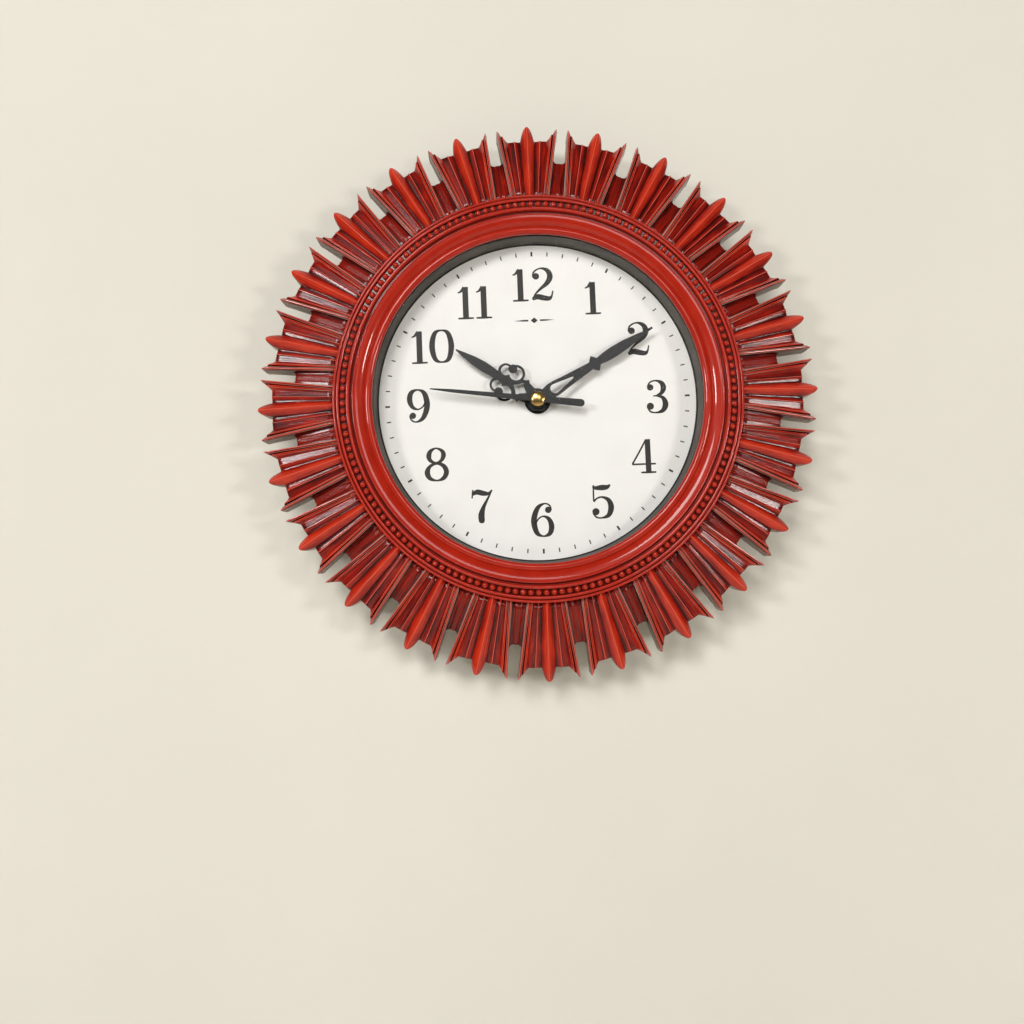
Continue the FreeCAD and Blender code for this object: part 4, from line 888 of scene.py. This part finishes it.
# node, slot and finish of what is inside the movement, which keeps its own mesh
innerPieces = (
    ("rubber_gasket", "rubber", "rubber"),
    ("circuit_board", "board", "board"),
    ("quartz_crystal", "tin_can", "nickel"),
    ("driver_chip", "resin", "resin"),
    ("coil_bobbin", "bobbin", "nylon"),
    ("coil_winding", "copper_wire", "copper"),
    ("stator", "stator_iron", "iron"),
    ("positive_contact", "contact_steel", "nickel"),
    ("negative_contact", "contact_steel", "nickel"),
    ("rotor", "gear_plastic", "acetal"),
    ("intermediate_wheel", "gear_plastic", "acetal"),
    ("seconds_wheel", "gear_plastic", "acetal"),
    ("third_wheel", "gear_plastic", "acetal"),
    ("centre_wheel", "gear_plastic", "acetal"),
    ("cannon_pinion", "gear_plastic", "acetal"),
    ("motion_wheel", "gear_plastic", "acetal"),
    ("hour_wheel", "gear_plastic", "acetal"),
)
for node, slotName, finish in innerPieces:
    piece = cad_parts[node]
    piece.data.materials.clear()
    piece.data.materials.append(paint[finish])
print("back and movement finished")


# ---- studio: a pale wall that sweeps down to a pale floor, soft light and the camera

def studioSurface():
    # matt plaster from the front, and nothing from behind so that the back can be looked at
    material, tree, shader = newMaterial("matt_plaster", 0.9)
    mottle = addNode(tree, "ShaderNodeTexNoise", {"Scale": 3.0, "Detail": 3.0}, {"Vector": objectPlace(tree)})
    tint = addNode(tree, "ShaderNodeValToRGB", links={"Fac": mottle.outputs["Fac"]},
                   stops=[(0.3, "#ddd9ce"), (0.7, "#e3dfd4")])
    tree.links.new(tint.outputs["Color"], shader.inputs["Base Color"])
    clear = addNode(tree, "ShaderNodeBsdfTransparent")
    facing = addNode(tree, "ShaderNodeNewGeometry")
    mixed = addNode(tree, "ShaderNodeMixShader", links={
        0: facing.outputs["Backfacing"], 1: shader.outputs["BSDF"], 2: clear.outputs["BSDF"]})
    output = next(node for node in tree.nodes if node.type == "OUTPUT_MATERIAL")
    tree.links.new(mixed.outputs["Shader"], output.inputs["Surface"])
    return material


studio = {
    # the wall stands just behind the clock's own wall plane
    "behindWall": 0.0006, "halfWidth": 2.2, "top": 1.6, "floor": -0.85, "reach": 2.4, "bend": 0.5,
    "key": {"place": (-0.75, -2.3, 1.25), "size": 0.9, "power": 34, "colour": "#fffdfa"},
    "left": {"place": (-1.15, -1.2, 0.3), "size": 0.25, "power": 7.5, "colour": "#ffffff"},
    "right": {"place": (1.15, -1.2, 0.0), "size": 0.25, "power": 6.5, "colour": "#fffdf8"},
    "front": {"place": (0.3, -1.8, 0.6), "size": 0.5, "power": 4, "colour": "#ffffff"},
    "behind": {"place": (0.5, 1.3, 0.7), "size": 0.9, "power": 9, "colour": "#ffffff"},
    "worldStrength": 0.09,
}


def makeSweep():
    across, behind = studio["halfWidth"], studio["behindWall"]
    bend, floor = studio["bend"], studio["floor"]
    line = [(behind, studio["top"]), (behind, floor + bend)]
    for k in range(1, 13):
        turn = k * math.pi / 24
        line.append((behind - bend * (1 - math.cos(turn)), floor + bend * (1 - math.sin(turn))))
    line.append((-studio["reach"], floor))
    points = [(x / mm, y / mm, z / mm) for y, z in line for x in (-across, across)]
    faces = [(2 * i, 2 * i + 1, 2 * i + 3, 2 * i + 2) for i in range(len(line) - 1)]
    sweep = meshObject("studio_sweep", points, faces)
    if sweep.data.polygons[0].normal.y > 0:
        sweep.data.flip_normals()
    sweep.data.materials.append(studioSurface())
    sweep.visible_shadow = False


def addLight(name, place, size, power, colour):
    light = bpy.data.lights.new(name, "AREA")
    light.shape = "SQUARE"
    light.size = size
    light.energy = power
    light.color = linear(colour)[:3]
    lamp = bpy.data.objects.new(name, light)
    lamp.location = place
    lamp.rotation_euler = (-Vector(place)).to_track_quat("-Z", "Y").to_euler()
    bpy.context.scene.collection.objects.link(lamp)


makeSweep()
for name in ("key", "left", "right", "front", "behind"):
    lamp = studio[name]
    addLight(f"{name}_light", lamp["place"], lamp["size"], lamp["power"], lamp["colour"])

world = bpy.data.worlds.new("studio_air")
world.use_nodes = True
air = world.node_tree.nodes["Background"]
air.inputs["Color"].default_value = linear("#f4efe6")
air.inputs["Strength"].default_value = studio["worldStrength"]
bpy.context.scene.world = world
bpy.context.scene.view_settings.view_transform = "Standard"

lensView = {
    "place": (-0.01736, -0.45192, -0.08294), "aim": (-0.01621, -0.022, -0.05957),
    "roll": 2.27, "focal": 28.125, "sensor": 36.0,
}
camera = bpy.data.objects.new("camera", bpy.data.cameras.new("camera"))
camera.data.lens = lensView["focal"]
camera.data.sensor_width = lensView["sensor"]
camera.data.clip_start = 0.01
camera.location = lensView["place"]
way = Vector(lensView["aim"]) - Vector(lensView["place"])
rolled = Euler((0, 0, math.radians(-lensView["roll"]))).to_quaternion()
camera.rotation_euler = (way.to_track_quat("-Z", "Y") @ rolled).to_euler()
bpy.context.scene.collection.objects.link(camera)
bpy.context.scene.camera = camera
print("studio set")
